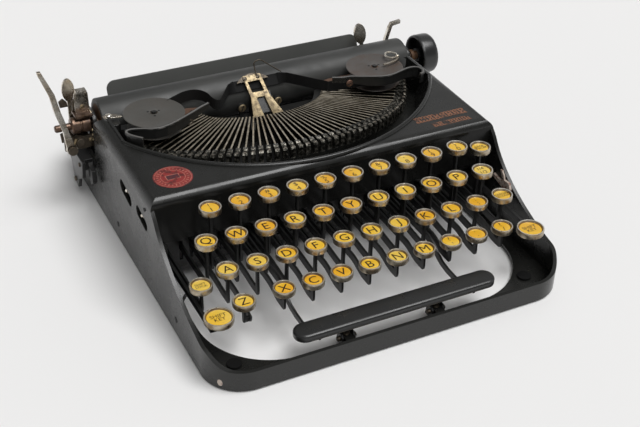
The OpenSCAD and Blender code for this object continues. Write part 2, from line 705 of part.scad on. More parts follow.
module shift_bail() placed() color([0.86, 0.68, 0.2]) {
    for (s = [-1, 1]) {
        key_top(s * shift_key_x, shift_key_y, shift_key_z, shift_key_r);
        key_stem(s * shift_key_x, shift_key_y, shift_key_z, shift_z0);
        difference() {
            box(
                s * shift_arm_x - shift_arm_t / 2, s * shift_arm_x + shift_arm_t / 2,
                shift_key_y - 0.9, 210, shift_z0, shift_z1
            );
            lever_bore(s * shift_arm_x);
        }
        box(
            min(s * shift_key_x, s * shift_arm_x) - 0.7, max(s * shift_key_x, s * shift_arm_x) + 0.7,
            shift_key_y - 0.9, shift_key_y + 1, shift_z0, shift_z1
        );
    }
    // Cross bar that joins both arms behind the key levers
    box(-shift_arm_x, shift_arm_x, 206, 210, shift_z0, shift_z1);
}

body_shell();
rubber_feet();
main_frame();
typebars();
ribbon_spool_left();
ribbon_spool_right();
ribbon();
type_guide();
carriage_frame();
platen();
paper_table();
return_lever();
carriage_release();
paper_release();
space_bar();
shift_bail();
key_unit(SHIFT_LOCK);  // shift_lock_key
key_unit(BACK_SPACER);  // back_spacer_key
key_unit(MARGIN_RELEASE);  // margin_release_key
for (k = TYPE_KEYS) key_unit(k);
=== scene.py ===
import bpy
import bmesh
import math
from mathutils import Matrix, Vector


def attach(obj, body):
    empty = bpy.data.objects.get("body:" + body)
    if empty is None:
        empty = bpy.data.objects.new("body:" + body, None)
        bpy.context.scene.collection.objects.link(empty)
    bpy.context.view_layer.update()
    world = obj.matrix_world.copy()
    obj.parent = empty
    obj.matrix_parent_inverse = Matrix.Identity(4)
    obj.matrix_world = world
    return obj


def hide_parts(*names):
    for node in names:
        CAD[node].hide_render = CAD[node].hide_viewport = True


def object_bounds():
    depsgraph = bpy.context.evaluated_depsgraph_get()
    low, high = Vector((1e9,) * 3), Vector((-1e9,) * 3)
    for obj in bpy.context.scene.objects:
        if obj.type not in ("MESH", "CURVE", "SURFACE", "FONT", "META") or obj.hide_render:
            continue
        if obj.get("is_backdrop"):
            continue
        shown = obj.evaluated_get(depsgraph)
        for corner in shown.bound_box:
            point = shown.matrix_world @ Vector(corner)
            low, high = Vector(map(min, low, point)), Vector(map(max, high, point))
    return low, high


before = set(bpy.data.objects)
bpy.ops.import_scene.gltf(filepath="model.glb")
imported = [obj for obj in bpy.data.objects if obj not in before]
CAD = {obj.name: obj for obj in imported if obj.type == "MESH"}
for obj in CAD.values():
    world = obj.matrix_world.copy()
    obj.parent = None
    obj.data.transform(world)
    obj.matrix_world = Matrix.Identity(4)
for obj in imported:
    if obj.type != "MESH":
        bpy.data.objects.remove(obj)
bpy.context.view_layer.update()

# Pieces are drawn in millimetres with the front rail's outer face at y = 0,
# the body's middle at x = 0 and the table at z = 0, like the part's source.
MM = 0.001
ORIGIN = Vector((0.0, 142.5, 0.0))


def at(x, y, z):
    return (Vector((x, y, z)) - ORIGIN) * MM


class Shape:
    """Points and faces of one piece, in drawing millimetres."""

    def __init__(self):
        self.verts, self.faces, self.slots, self.smooth = [], [], [], []

    def add(self, verts, faces, slot=0, smooth=True):
        base = len(self.verts)
        self.verts += [Vector(v) for v in verts]
        for f in faces:
            self.faces.append([base + i for i in f])
            self.slots.append(slot)
            self.smooth.append(smooth)
        return self

    def box(self, x0, x1, y0, y1, z0, z1, slot=0):
        v = [(x, y, z) for z in (z0, z1) for y in (y0, y1) for x in (x0, x1)]
        f = [(0, 2, 3, 1), (4, 5, 7, 6), (0, 1, 5, 4), (2, 6, 7, 3), (0, 4, 6, 2), (1, 3, 7, 5)]
        return self.add(v, f, slot)

    def prism(self, outline, axis, a, b, slot=0):
        """Extrudes an outline along axis x (y, z), y (x, z) or z (x, y) from a to b."""
        n = len(outline)
        area = sum(p[0] * q[1] - q[0] * p[1] for p, q in zip(outline, outline[1:] + outline[:1]))
        if (area > 0) == (axis == "y"):
            outline = outline[::-1]
        place = {
            "x": lambda p, t: (t, p[0], p[1]),
            "y": lambda p, t: (p[0], t, p[1]),
            "z": lambda p, t: (p[0], p[1], t),
        }[axis]
        v = [place(p, a) for p in outline] + [place(p, b) for p in outline]
        f = [tuple(range(n))[::-1], tuple(range(n, 2 * n))]
        f += [(i, (i + 1) % n, n + (i + 1) % n, n + i) for i in range(n)]
        return self.add(v, f, slot)

    def lathe(self, profile, centre, axis="z", n=48, slot=0):
        """Turns a (radius, height) profile round an axis through centre."""
        c = Vector(centre)
        v, f, rings = [], [], []
        for r, h in profile:
            count = n if r else 1
            rings.append(range(len(v), len(v) + count))
            v += [turn_point(c, axis, r, 2 * math.pi * k / n, h) for k in range(count)]
        for a, b in zip(rings, rings[1:]):
            for k in range(n):
                m = (k + 1) % n
                if len(a) == 1:
                    f.append((a[0], b[m], b[k]))
                elif len(b) == 1:
                    f.append((a[k], a[m], b[0]))
                else:
                    f.append((a[k], a[m], b[m], b[k]))
        return self.add(v, f, slot)

    def tube(self, path, radius, n=10, slot=0):
        """A round tube along points."""
        pts = [Vector(p) for p in path]
        tangents = [along(pts, i).normalized() for i in range(len(pts))]
        up = Vector((0, 0, 1)) if abs(tangents[0].z) < 0.9 else Vector((1, 0, 0))
        side = tangents[0].cross(up).normalized()
        v = []
        for p, t in zip(pts, tangents):
            side = (side - t * side.dot(t)).normalized()
            other = t.cross(side)
            for k in range(n):
                a = 2 * math.pi * k / n
                v.append(p + (side * math.cos(a) + other * math.sin(a)) * radius)
        return self.add(v, skin(len(pts), n), slot)

    def band(self, path, half_width, half_depth):
        """A flat strip along points; the two half sizes are vectors."""
        w, d = Vector(half_width), Vector(half_depth)
        v = []
        for p in path:
            p = Vector(p)
            v += [p - w - d, p + w - d, p + w + d, p - w + d]
        return self.add(v, skin(len(path), 4))

    def take(self, other, place):
        """Adds another shape with its slots, moved by the function place."""
        self.add([place(v) for v in other.verts], other.faces)
        self.slots[-len(other.slots):] = other.slots


def along(way, i):
    """Direction of a run of points at its point i."""
    return way[min(len(way) - 1, i + 1)] - way[max(0, i - 1)]


def skin(count, n):
    """Faces of a closed solid through count rings of n points each."""
    f = []
    for i in range(count - 1):
        for k in range(n):
            m = (k + 1) % n
            f.append((i * n + k, i * n + m, (i + 1) * n + m, (i + 1) * n + k))
    end = (count - 1) * n
    return f + [tuple(range(n))[::-1], tuple(range(end, end + n))]


def turn_point(c, axis, r, a, h):
    if axis == "z":
        return c + Vector((r * math.cos(a), r * math.sin(a), h))
    if axis == "x":
        return c + Vector((h, r * math.cos(a), r * math.sin(a)))
    return c + Vector((r * math.sin(a), h, r * math.cos(a)))


def curve(points, steps):
    """Smooth curve through points (Catmull-Rom)."""
    p = [Vector(q) for q in points]
    p = [p[0] * 2 - p[1]] + p + [p[-1] * 2 - p[-2]]
    out = []
    for a, b, c, d in zip(p, p[1:], p[2:], p[3:]):
        for k in range(steps):
            t = k / steps
            out.append(0.5 * (
                (2 * b) + (c - a) * t + (2 * a - 5 * b + 4 * c - d) * t * t
                + (3 * b - a - 3 * c + d) * t ** 3
            ))
    out.append(p[-2])
    return out


def add_object(name, data):
    ob = bpy.data.objects.new(name, data)
    bpy.context.scene.collection.objects.link(ob)
    return ob


def mesh_piece(name, shape, mats, body, bevel=0.0, angle=35, segments=2, replaces=()):
    """Makes a shape a piece; mats names its materials in the order of the shape's slots."""
    me = bpy.data.meshes.new(name)
    me.from_pydata([at(*v) for v in shape.verts], [], shape.faces)
    for key in mats.split():
        me.materials.append(M[key])
    for poly, s, smooth in zip(me.polygons, shape.slots, shape.smooth):
        poly.material_index = s
        poly.use_smooth = smooth
    bm = bmesh.new()
    bm.from_mesh(me)
    bmesh.ops.recalc_face_normals(bm, faces=bm.faces)
    bm.to_mesh(me)
    bm.free()
    me.set_sharp_from_angle(angle=math.radians(angle))
    ob = add_object(name, me)
    if bevel:
        add_bevel(ob, bevel, segments)
    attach(ob, body)
    for node in replaces:
        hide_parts(node)
    return ob


def add_bevel(ob, width, segments=2, angle=35):
    m = ob.modifiers.new("bevel", "BEVEL")
    m.width = width * MM
    m.segments = segments
    m.limit_method = "ANGLE"
    m.angle_limit = math.radians(angle)
    m.harden_normals = True
    m.use_clamp_overlap = True


# Materials
class Tree:
    """Short forms for building a node tree."""

    def __init__(self, tree):
        self.t = tree

    def node(self, kind, operation=None, **inputs):
        n = self.t.nodes.new("ShaderNode" + kind)
        if operation:
            n.operation = operation
        for key, value in inputs.items():
            n.inputs[key].default_value = value
        return n

    def link(self, a, b):
        self.t.links.new(a, b)

    def fill(self, n, values):
        """Sets or links inputs, given as (index or name, number, colour or socket)."""
        for key, value in values:
            if isinstance(value, (int, float)):
                n.inputs[key].default_value = value
            elif isinstance(value, tuple):
                n.inputs[key].default_value = (*value, 1)
            else:
                self.link(value, n.inputs[key])

    def math(self, operation, a, b, clamp=False):
        m = self.node("Math", operation)
        m.use_clamp = clamp
        self.fill(m, ((0, a), (1, b)))
        return m.outputs[0]

    def dot(self, a, b):
        """Dot product of two vector sockets; b may be three numbers."""
        d = self.node("VectorMath", "DOT_PRODUCT")
        self.link(a, d.inputs[0])
        if isinstance(b, tuple):
            d.inputs[1].default_value = b
        else:
            self.link(b, d.inputs[1])
        return d.outputs["Value"]

    def spread(self, value, low, high, at_low, at_high):
        """Goes from at_low to at_high while value goes from low to high."""
        n = self.node("MapRange")
        limits = (("From Min", low), ("From Max", high), ("To Min", at_low), ("To Max", at_high))
        self.fill(n, (("Value", value),) + limits)
        return n.outputs["Result"]

    def ramp(self, value, stops):
        r = self.node("ValToRGB")
        e = r.color_ramp.elements
        while len(e) < len(stops):
            e.new(0.5)
        for el, (pos, col) in zip(e, stops):
            el.position = pos
            el.color = (*col, 1) if isinstance(col, tuple) else (col, col, col, 1)
        self.link(value, r.inputs["Fac"])
        return r.outputs["Color"]


class Mat(Tree):
    """A node material with helpers for procedural detail."""

    def __init__(self, name, color, rough, metallic=0.0, coat=0.0, coat_rough=0.1, spec=0.5):
        self.m = bpy.data.materials.new(name)
        self.m.use_nodes = True
        self.m.diffuse_color = (*color, 1)
        super().__init__(self.m.node_tree)
        self.bsdf = self.t.nodes["Principled BSDF"]
        self.fill(self.bsdf, (
            ("Base Color", color), ("Roughness", rough), ("Metallic", metallic),
            ("Coat Weight", coat), ("Coat Roughness", coat_rough), ("Specular IOR Level", spec),
        ))
        self.coords = self.node("TexCoord")

    def noise(self, scale, detail, rough=0.55, stretch=None):
        """Noise on the piece's own coordinates; scale is features per metre."""
        n = self.node("TexNoise", Scale=scale, Detail=detail, Roughness=rough)
        src = self.coords.outputs["Object"]
        if stretch:
            mp = self.node("Mapping", Scale=stretch)
            self.link(src, mp.inputs["Vector"])
            src = mp.outputs["Vector"]
        self.link(src, n.inputs["Vector"])
        return n.outputs["Fac"]

    def mix(self, share, a, b):
        m = self.node("Mix")
        m.data_type = "RGBA"
        self.fill(m, ((0, share), (6, a), (7, b)))
        return m.outputs[2]

    def blend(self, mask, share, a, b):
        """Colour a, with b over it where the mask is 1, at most by share."""
        return self.mix(self.math("MULTIPLY", mask, share), a, b)

    def patches(self, scale, detail, low, high, rough=0.55):
        """Mask of blotches: 0 where the noise is under low, and 1 where it is over high."""
        return self.ramp(self.noise(scale, detail, rough), [(low, 0.0), (high, 1.0)])

    def color(self, socket):
        self.link(socket, self.bsdf.inputs["Base Color"])

    def rough(self, scale, detail, low, high, rough=0.55):
        """Uneven gloss: low and high are (noise value, roughness)."""
        self.link(self.ramp(self.noise(scale, detail, rough), [low, high]), self.bsdf.inputs["Roughness"])

    def bump(self, height, strength, distance):
        b = self.node("Bump", Strength=strength, Distance=distance)
        self.link(height, b.inputs["Height"])
        self.link(b.outputs["Normal"], self.bsdf.inputs["Normal"])

    def edge(self, radius):
        """1 near sharp edges within radius, in metres."""
        r = self.node("Bevel", Radius=radius)
        r.samples = 6
        flat = self.node("NewGeometry").outputs["Normal"]
        turned = self.math("SUBTRACT", 1.0, self.dot(r.outputs["Normal"], flat))
        return self.spread(turned, 0.02, 0.2, 0.0, 1.0)

    def normal_z(self):
        s = self.node("SeparateXYZ")
        self.link(self.node("NewGeometry").outputs["Normal"], s.inputs[0])
        return s.outputs["Z"]


def enamel(name, base, rough, chips=0.0, edge_radius=0.0007, spec=0.5):
    """Glossy black paint with faint clouding, dust specks and rare bare chips along edges."""
    m = Mat(name, base, rough, spec=spec)
    light = tuple(min(1, c * 1.7 + 0.003) for c in base)
    col = m.blend(m.noise(22, 3), 0.8, base, light)
    col = m.blend(m.patches(420, 5, 0.64, 0.74, 0.65), 0.06, col, (0.16, 0.15, 0.13))
    if chips:
        bare = m.patches(120, 8, 0.64 - chips * 0.08, 0.68 - chips * 0.08, 0.75)
        worn = m.math("MULTIPLY", m.edge(edge_radius), bare, clamp=True)
        col = m.blend(worn, 0.75, col, (0.3, 0.26, 0.21))
    m.color(col)
    m.rough(60, 6, (0.25, rough - 0.06), (0.75, rough + 0.1), 0.6)
    m.bump(m.noise(900, 3), 0.06, 0.00006)
    return m.m


def aged_metal(name, base, rough, spots, spot_color, scale=260):
    """Worn plating with brown stains that are less metallic."""
    m = Mat(name, base, rough, metallic=1.0)
    grime = m.patches(scale, 8, 0.56 - 0.12 * spots, 0.72 - 0.1 * spots, 0.7)
    tint = m.mix(m.noise(90, 3), base, tuple(c * f for c, f in zip(base, (0.8, 0.72, 0.6))))
    m.color(m.blend(grime, 0.85, tint, spot_color))
    m.link(m.math("SUBTRACT", 1.0, m.math("MULTIPLY", grime, 0.8)), m.bsdf.inputs["Metallic"])
    m.rough(500, 5, (0.2, rough - 0.1), (0.8, rough + 0.16), 0.6)
    m.bump(m.noise(scale * 2, 6, 0.6), 0.12, 0.0001)
    return m.m


def ring_material():
    """Polished nickel with a soft brown film and a few darker marks; faces that point up are painted pale, a
    painted highlight.
    """
    m = Mat("key_ring_nickel", (0.7, 0.63, 0.5), 0.3, metallic=1.0)
    film = m.ramp(m.noise(150, 3), [(0.35, (0.56, 0.5, 0.39)), (0.65, (0.24, 0.18, 0.115))])
    col = m.blend(m.patches(520, 6, 0.6, 0.72, 0.7), 0.7, film, (0.1, 0.06, 0.035))
    # Upward faces get a pale colour: a painted highlight on the ring's top.
    m.color(m.mix(m.math("GREATER_THAN", m.normal_z(), 0.5), col, (0.86, 0.82, 0.74)))
    m.rough(500, 4, (0.3, 0.24), (0.75, 0.42))
    m.bump(m.noise(700, 3), 0.03, 0.00005)
    return m.m


def nickel_material():
    """Polished nickel, in places gone brown."""
    m = Mat("aged_nickel", (0.8, 0.76, 0.68), 0.25, metallic=1.0)
    film = m.ramp(m.noise(110, 4), [(0.38, (0.84, 0.8, 0.72)), (0.62, (0.5, 0.43, 0.34))])
    m.color(m.blend(m.patches(240, 6, 0.6, 0.7, 0.7), 0.6, film, (0.11, 0.07, 0.045)))
    m.rough(200, 4, (0.3, 0.2), (0.75, 0.36))
    m.bump(m.noise(300, 3), 0.03, 0.00006)
    return m.m


def spool_material(name, base, brown):
    """Thin worn paint on sheet steel, stained brown."""
    m = Mat(name, base, 0.45, metallic=0.15)
    col = m.blend(m.patches(60, 6, 0.42, 0.68, 0.65), brown, base, (0.085, 0.05, 0.032))
    m.color(m.blend(m.patches(700, 4, 0.6, 0.75), 0.25, col, (0.16, 0.14, 0.12)))
    m.rough(120, 5, (0.3, 0.38), (0.7, 0.56))
    m.bump(m.noise(1200, 3), 0.1, 0.00006)
    return m.m


def rubber_material():
    """Platen rubber, gone dull and streaked along its length."""
    m = Mat("platen_rubber", (0.03, 0.031, 0.03), 0.5)
    streak = m.noise(30, 5, 0.6, stretch=(0.4, 3.0, 3.0))
    m.color(m.ramp(streak, [(0.3, (0.022, 0.023, 0.022)), (0.72, (0.05, 0.05, 0.047))]))
    m.rough(80, 5, (0.3, 0.42), (0.7, 0.58))
    m.bump(m.noise(1500, 3), 0.15, 0.00006)
    return m.m


def ribbon_material():
    """Inked cloth with a fine weave."""
    m = Mat("ribbon_cloth", (0.005, 0.005, 0.005), 0.8, spec=0.25)
    w = m.node("TexWave", Scale=900.0, Distortion=0.4)
    m.link(m.coords.outputs["Object"], w.inputs["Vector"])
    m.color(m.mix(m.noise(70, 4), (0.004, 0.004, 0.004), (0.011, 0.011, 0.011)))
    m.bump(w.outputs["Fac"], 0.25, 0.0001)
    return m.m


def yellow_material():
    """Aged key face: yellow under a clear coat, with brown specks."""
    m = Mat("key_yellow", (0.8, 0.46, 0.035), 0.24, coat=0.3, coat_rough=0.08)
    shades = [(0.34, (0.74, 0.38, 0.022)), (0.5, (0.79, 0.48, 0.036)), (0.66, (0.77, 0.53, 0.09))]
    hue = m.ramp(m.noise(34, 1), shades)
    m.color(m.blend(m.patches(700, 6, 0.55, 0.8, 0.7), 0.35, hue, (0.36, 0.17, 0.025)))
    m.bump(m.noise(500, 2), 0.05, 0.0001)
    return m.m


def decal_material(name, base, worn, share=0.5):
    """Old transfer print, partly rubbed away to the paint below."""
    m = Mat(name, base, 0.4)
    m.color(m.mix(m.patches(240, 7, share, share + 0.08, 0.7), base, worn))
    m.rough(300, 4, (0.3, 0.3), (0.7, 0.5))
    return m.m


def typebar_material():
    """Upward faces painted bright, a painted highlight over worn metal; sides painted near black, painted
    shade over dark patina.
    """
    m = Mat("typebar_metal", (0.3, 0.27, 0.2), 0.35, metallic=0.9)
    worn = m.ramp(m.noise(260, 4), [(0.3, (0.34, 0.29, 0.21)), (0.7, (0.72, 0.65, 0.53))])
    side = m.ramp(m.noise(180, 5), [(0.3, (0.012, 0.011, 0.009)), (0.7, (0.05, 0.042, 0.028))])
    # Upward faces take the bright colour and the sides the dark one: painted highlight and painted shade.
    m.color(m.mix(m.math("GREATER_THAN", m.normal_z(), 0.6), side, worn))
    m.rough(300, 4, (0.2, 0.3), (0.8, 0.52))
    return m.m


def slug_material():
    """Dark type metal with bright rubbed spots."""
    m = Mat("type_slug_metal", (0.05, 0.048, 0.042), 0.33, metallic=0.85)
    shades = [(0.35, (0.012, 0.012, 0.011)), (0.5, (0.05, 0.048, 0.04)), (0.68, (0.55, 0.52, 0.45))]
    m.color(m.ramp(m.noise(420, 6, 0.7), shades))
    m.rough(300, 4, (0.2, 0.22), (0.8, 0.5))
    m.bump(m.noise(900, 5), 0.3, 0.0002)
    return m.m


BODY_BLACK = (0.0085, 0.0086, 0.0078)
M = {
    "body": enamel("black_enamel", BODY_BLACK, 0.25, chips=0.15),
    "rim": enamel("rim_black", BODY_BLACK, 0.62, spec=0.2),
    # Painted shade: the hood's front face is made darker and less shiny than the body black.
    "front": enamel("hood_front_painted_shade_black", (0.005, 0.005, 0.0045), 0.2, spec=0.22),
    "frame": enamel("frame_black", (0.0105, 0.0105, 0.01), 0.3, chips=0.3),
    "lever": enamel("lever_black", (0.0085, 0.0085, 0.0085), 0.34, chips=0.3, edge_radius=0.0004),
    "space": enamel("space_bar_black", (0.011, 0.0112, 0.011), 0.28, chips=0.5),
    "knob": enamel("knob_black", (0.014, 0.014, 0.014), 0.3),
    "table": enamel("paper_table_black", (0.048, 0.049, 0.046), 0.45, chips=0.3),
    # Lighter grey for the shield lips: partly worn paint, partly painted highlight.
    "lip": enamel("worn_and_lit_lip", (0.085, 0.082, 0.078), 0.32, chips=0.6),
    "pale": aged_metal("worn_pale_edge", (0.3, 0.28, 0.25), 0.36, 0.5, (0.06, 0.03, 0.015)),
    "brass": aged_metal("aged_brass", (0.46, 0.385, 0.255), 0.42, 0.85, (0.1, 0.065, 0.035), scale=380),
    "bronze": aged_metal("brown_bronze", (0.2, 0.14, 0.11), 0.32, 0.6, (0.04, 0.02, 0.015)),
    "steel": aged_metal("dark_steel", (0.16, 0.14, 0.115), 0.42, 0.8, (0.03, 0.02, 0.012)),
    "rust": aged_metal("rusty_steel", (0.26, 0.17, 0.13), 0.5, 1.0, (0.12, 0.055, 0.035)),
    "core": aged_metal("platen_core_brown", (0.16, 0.09, 0.05), 0.6, 1.0, (0.06, 0.03, 0.015)),
    "ring": ring_material(),
    "nickel": nickel_material(),
    "typebar": typebar_material(),
    "slug": slug_material(),
    "spool_l": spool_material("spool_grey", (0.072, 0.069, 0.062), 0.15),
    "spool_r": spool_material("spool_brown", (0.082, 0.074, 0.068), 0.7),
    "rubber": rubber_material(),
    "foot": Mat("foot_rubber", (0.005, 0.005, 0.005), 0.5, spec=0.2).m,
    "ribbon": ribbon_material(),
    "yellow": yellow_material(),
    "legend": Mat("legend_brown", (0.024, 0.012, 0.005), 0.4).m,
    "recess": Mat("ring_shadow_brown", (0.07, 0.032, 0.012), 0.5).m,
    # Flat black for the slots of screws and the holes and notches of hubs: painted shade in these hollows.
    "dark": Mat("painted_shade_black", (0.004, 0.004, 0.004), 0.7).m,
    "red": decal_material("decal_red", (0.24, 0.02, 0.018), (0.09, 0.012, 0.011)),
    "red_line": decal_material("decal_red_line", (0.46, 0.19, 0.14), (0.2, 0.03, 0.025), 0.52),
    "plum": decal_material("decal_plum", (0.055, 0.014, 0.02), (0.13, 0.016, 0.016)),
    "gold": decal_material("worn_gold", (0.21, 0.085, 0.042), (0.018, 0.013, 0.011)),
    "cream": decal_material("worn_cream_paint", (0.5, 0.42, 0.36), (0.2, 0.09, 0.06)),
}


def clean_cad(node, mat, bevel=0.0, segments=2):
    """A carried-over CAD node gets a material, and rounded edges through modifiers."""
    ob = CAD[node]
    ob.data.materials.clear()
    ob.data.materials.append(M[mat])
    if bevel:
        weld = ob.modifiers.new("weld", "WELD")
        weld.merge_threshold = 0.02 * MM
        planes = ob.modifiers.new("planes", "DECIMATE")
        planes.decimate_type = "DISSOLVE"
        planes.angle_limit = math.radians(0.3)
        planes.delimit = {"MATERIAL"}
        add_bevel(ob, bevel, segments, 34)
    return ob


def paint_faces(node, mat, inside, up=-2.0):
    """Gives a material to the faces that pass the test at their centre, in drawing millimetres."""
    ob = CAD[node]
    ob.data.materials.append(M[mat])
    last = len(ob.data.materials) - 1
    for poly in ob.data.polygons:
        c = ob.matrix_world @ poly.center / MM + ORIGIN
        if poly.normal.z > up and inside(c):
            poly.material_index = last


shell = clean_cad("body_shell", "body", 0.7, 3)
shell.modifiers["bevel"].harden_normals = False
even = shell.modifiers.new("even", "WEIGHTED_NORMAL")
even.mode = "FACE_AREA"
even.weight = 50
# The front rail's sloping rim is duller than the rest, and the hood's front face gets a darker, less shiny
# black as painted shade
HOOD_FRONT = 100.0
paint_faces("body_shell", "rim", lambda c: c.y < 30 and 14 < c.z < 25, 0.7)
paint_faces("body_shell", "front", lambda c: abs(c.y - HOOD_FRONT) < 0.5 and c.z < 70)
clean_cad("main_frame", "frame")
clean_cad("rubber_feet", "foot")
clean_cad("carriage_frame", "frame", 0.3)
# The carriage's left end plate is bare metal, bright along its top
END_PLATE_X, SHELF_Z, TOP_Z = -117.2, 64.5, 66.6
paint_faces("carriage_frame", "nickel", lambda c: c.x < -116 and c.z > TOP_Z)
paint_faces("carriage_frame", "bronze", lambda c: c.x < END_PLATE_X and SHELF_Z < c.z < TOP_Z)
paint_faces("carriage_frame", "steel", lambda c: c.x < END_PLATE_X and c.z < SHELF_Z)
clean_cad("paper_table", "table", 0.3)


def screw_head(shape, x, y, z, r, h, axis="z", turn=30, slots=(0, 1)):
    """A domed head with its slot drawn as a flat dark quad, painted shade in the slot; h points out of the
    surface and may be negative.
    """
    dome = [(0, h), (r * 0.55, h * 0.98), (r * 0.88, h * 0.75), (r, h * 0.35), (r, 0)]
    shape.lathe(dome, (x, y, z), axis, 24, slots[0])
    half_l, half_w, lift = 0.8 * r, 0.14 * r, h + math.copysign(0.03, h)
    c, s = math.cos(math.radians(turn)), math.sin(math.radians(turn))
    place = {
        "x": lambda p, q: (x + lift, y + p, z + q),
        "y": lambda p, q: (x + p, y + lift, z + q),
        "z": lambda p, q: (x + p, y + q, z + lift),
    }[axis]
    ends = ((-half_l, -half_w), (half_l, -half_w), (half_l, half_w), (-half_l, half_w))
    corners = [place(c * p - s * q, s * p + c * q) for p, q in ends]
    shape.add(corners, [(0, 1, 2, 3)], slots[1], False)


# Keys
KEY_R, RING_H = 6.95, 4.2
PITCH = 19.0
LEVER_T = 1.5
LEVER_Z0, LEVER_Z1 = 25.2, 30.4
FULCRUM_Y = 200.0
TAIL_Y = FULCRUM_Y + 4.5
# Each row: distance behind the rail, ring height, first key's x, height of the stem's foot, names
ROWS = [
    (85.2, 71.6, -88.7, 25.2, [(c, c) for c in "1234567890"]),
    (67.2, 61.8, -98.7, 25.2, [(c, c.upper()) for c in "qwertyuiop"] + [("fraction", "1/2")]),
    (52.0, 50.2, -92.0, 24.0, [(c, c.upper()) for c in "asdfghjkl"] + [("semicolon", ";")]),
    (36.0, 38.2, -63.1, 21.3,
     [(c, c.upper()) for c in "xcvbnm"] + [("comma", ","), ("period", "."), ("slash", "/")]),
]
UPPER = {
    "1": "!", "2": '"', "3": "#", "4": "$", "5": "%", "6": "_", "7": "&", "8": "'", "9": "(", "0": ")",
    "fraction": "1/4", "semicolon": ":", "comma": "?", "period": ".", "slash": "?",
}
# Each key: node, name, label, ring centre x, y and z, its lever's x, height of the stem's foot
KEYS = []
for row_y, row_z, row_x, foot, names in ROWS:
    for i, (name, label) in enumerate(names):
        x = row_x + i * PITCH
        KEYS.append(("key_" + name, name, label, x, row_y, row_z, x, foot))
KEYS += [
    ("key_z", "z", "Z", -89.2, 34.4, 38.2, -85.6, 21.3),
    ("shift_lock_key", "", "SHIFT\nLOCK", -108.8, 51.3, 44.0, -108.8, 24.0),
    ("back_spacer_key", "", "BACK\nSPACER", 101.5, 86.3, 66.0, 101.5, 25.2),
    ("margin_release_key", "", "MARGIN\nRELEASE", 97.8, 52.0, 50.2, 97.8, 24.0),
]


def text_mesh(body, size):
    """Flat letter outlines as verts and faces, in millimetres."""
    c = bpy.data.curves.new("letters", "FONT")
    c.body = body
    c.size = size
    c.align_x = "CENTER"
    c.align_y = "CENTER"
    c.space_line = 0.8
    c.resolution_u = 3
    c.fill_mode = "FRONT"
    ob = add_object("letters", c)
    me = ob.evaluated_get(bpy.context.evaluated_depsgraph_get()).to_mesh()
    verts = [v.co.copy() for v in me.vertices]
    faces = [tuple(p.vertices) for p in me.polygons]
    bpy.data.objects.remove(ob)
    bpy.data.curves.remove(c)
    return verts, faces


def legend_shape(shape, parts, x, y, z):
    """Adds letters, given as (text, size, dx, dy), flat on a key at height z, each centred."""
    for body, size, dx, dy in parts:
        verts, faces = text_mesh(body, size)
        cx = (min(v.x for v in verts) + max(v.x for v in verts)) / 2
        cy = (min(v.y for v in verts) + max(v.y for v in verts)) / 2
        shape.add([(x + dx + v.x - cx, y + dy + v.y - cy, z) for v in verts], faces, 0, False)


def ring_profile(r, h):
    """Outside of a key's ring from its top down, then the cup below."""
    return [
        (r - 1.3, -1.1), (r - 1.15, -0.5), (r - 0.9, -0.12), (r - 0.55, 0.0), (r - 0.2, -0.1),
        (r - 0.02, -0.42), (r, -0.9), (r - 0.06, -h + 0.9), (r - 0.2, -h + 0.3), (r - 0.55, -h),
        (r - 1.2, -h - 0.4), (r - 2.6, -h - 0.8), (0, -h - 0.8),
    ]


def key_cap(name, label_parts, x, y, z, r, body):
    ring = Shape().lathe(ring_profile(r, RING_H), (x, y, z), "z", 40)
    mesh_piece(name + "_ring", ring, "ring", body)
    face = Shape()
    face.lathe([(0, -1.05), (r - 2.3, -1.08), (r - 1.8, -1.15), (r - 1.6, -1.3)], (x, y, z), "z", 40, 0)
    # The narrow ring round the yellow disc takes the brown recess material: painted shade in the recess.
    face.lathe([(r - 1.75, -1.28), (r - 1.25, -1.0)], (x, y, z), "z", 40, 1)
    mesh_piece(name + "_face", face, "yellow recess", body)
    text = Shape()
    legend_shape(text, label_parts, x, y, z - 1.0)
    mesh_piece(name + "_legend", text, "legend", body)


def smooth(t):
    t = min(1, max(0, t))
    return t * t * (3 - 2 * t)


def stem_outline(y, z_top, f):
    """Upright strip from the key down to its turned foot, as a (y, z) outline."""
    front = [
        (y - 1.6, z_top), (y - 1.5, f + 9), (y - 1.7, f + 4), (y - 1.6, f + 1.9),
        (y - 0.9, f + 0.5), (y + 0.4, f + 0.05),
    ]
    back = [(y + 2.0, f + 5.3), (y + 1.7, f + 7), (y + 1.5, f + 9.5), (y + 1.6, z_top)]
    return front, back


def lever_outline(y, f):
    """Lever from its foot back over the shaft; from a low foot it first curves up."""
    rise = LEVER_Z0 - f
    steps = range(7) if rise > 0 else ()
    under = [(y + 6 + 3 * i, f + rise * smooth(i / 6)) for i in steps] + [(TAIL_Y, LEVER_Z0)]
    upper = [(TAIL_Y, LEVER_Z1)] + [(y + 4 + 3 * i, f + 5.2 + rise * smooth(i / 6)) for i in reversed(steps)]
    return under, upper


def strip_outline(y, z_top, f):
    front, back = stem_outline(y, z_top, f)
    under, upper = lever_outline(y, f)
    return front + under + upper + [(y + 3, f + 5.2)] + back


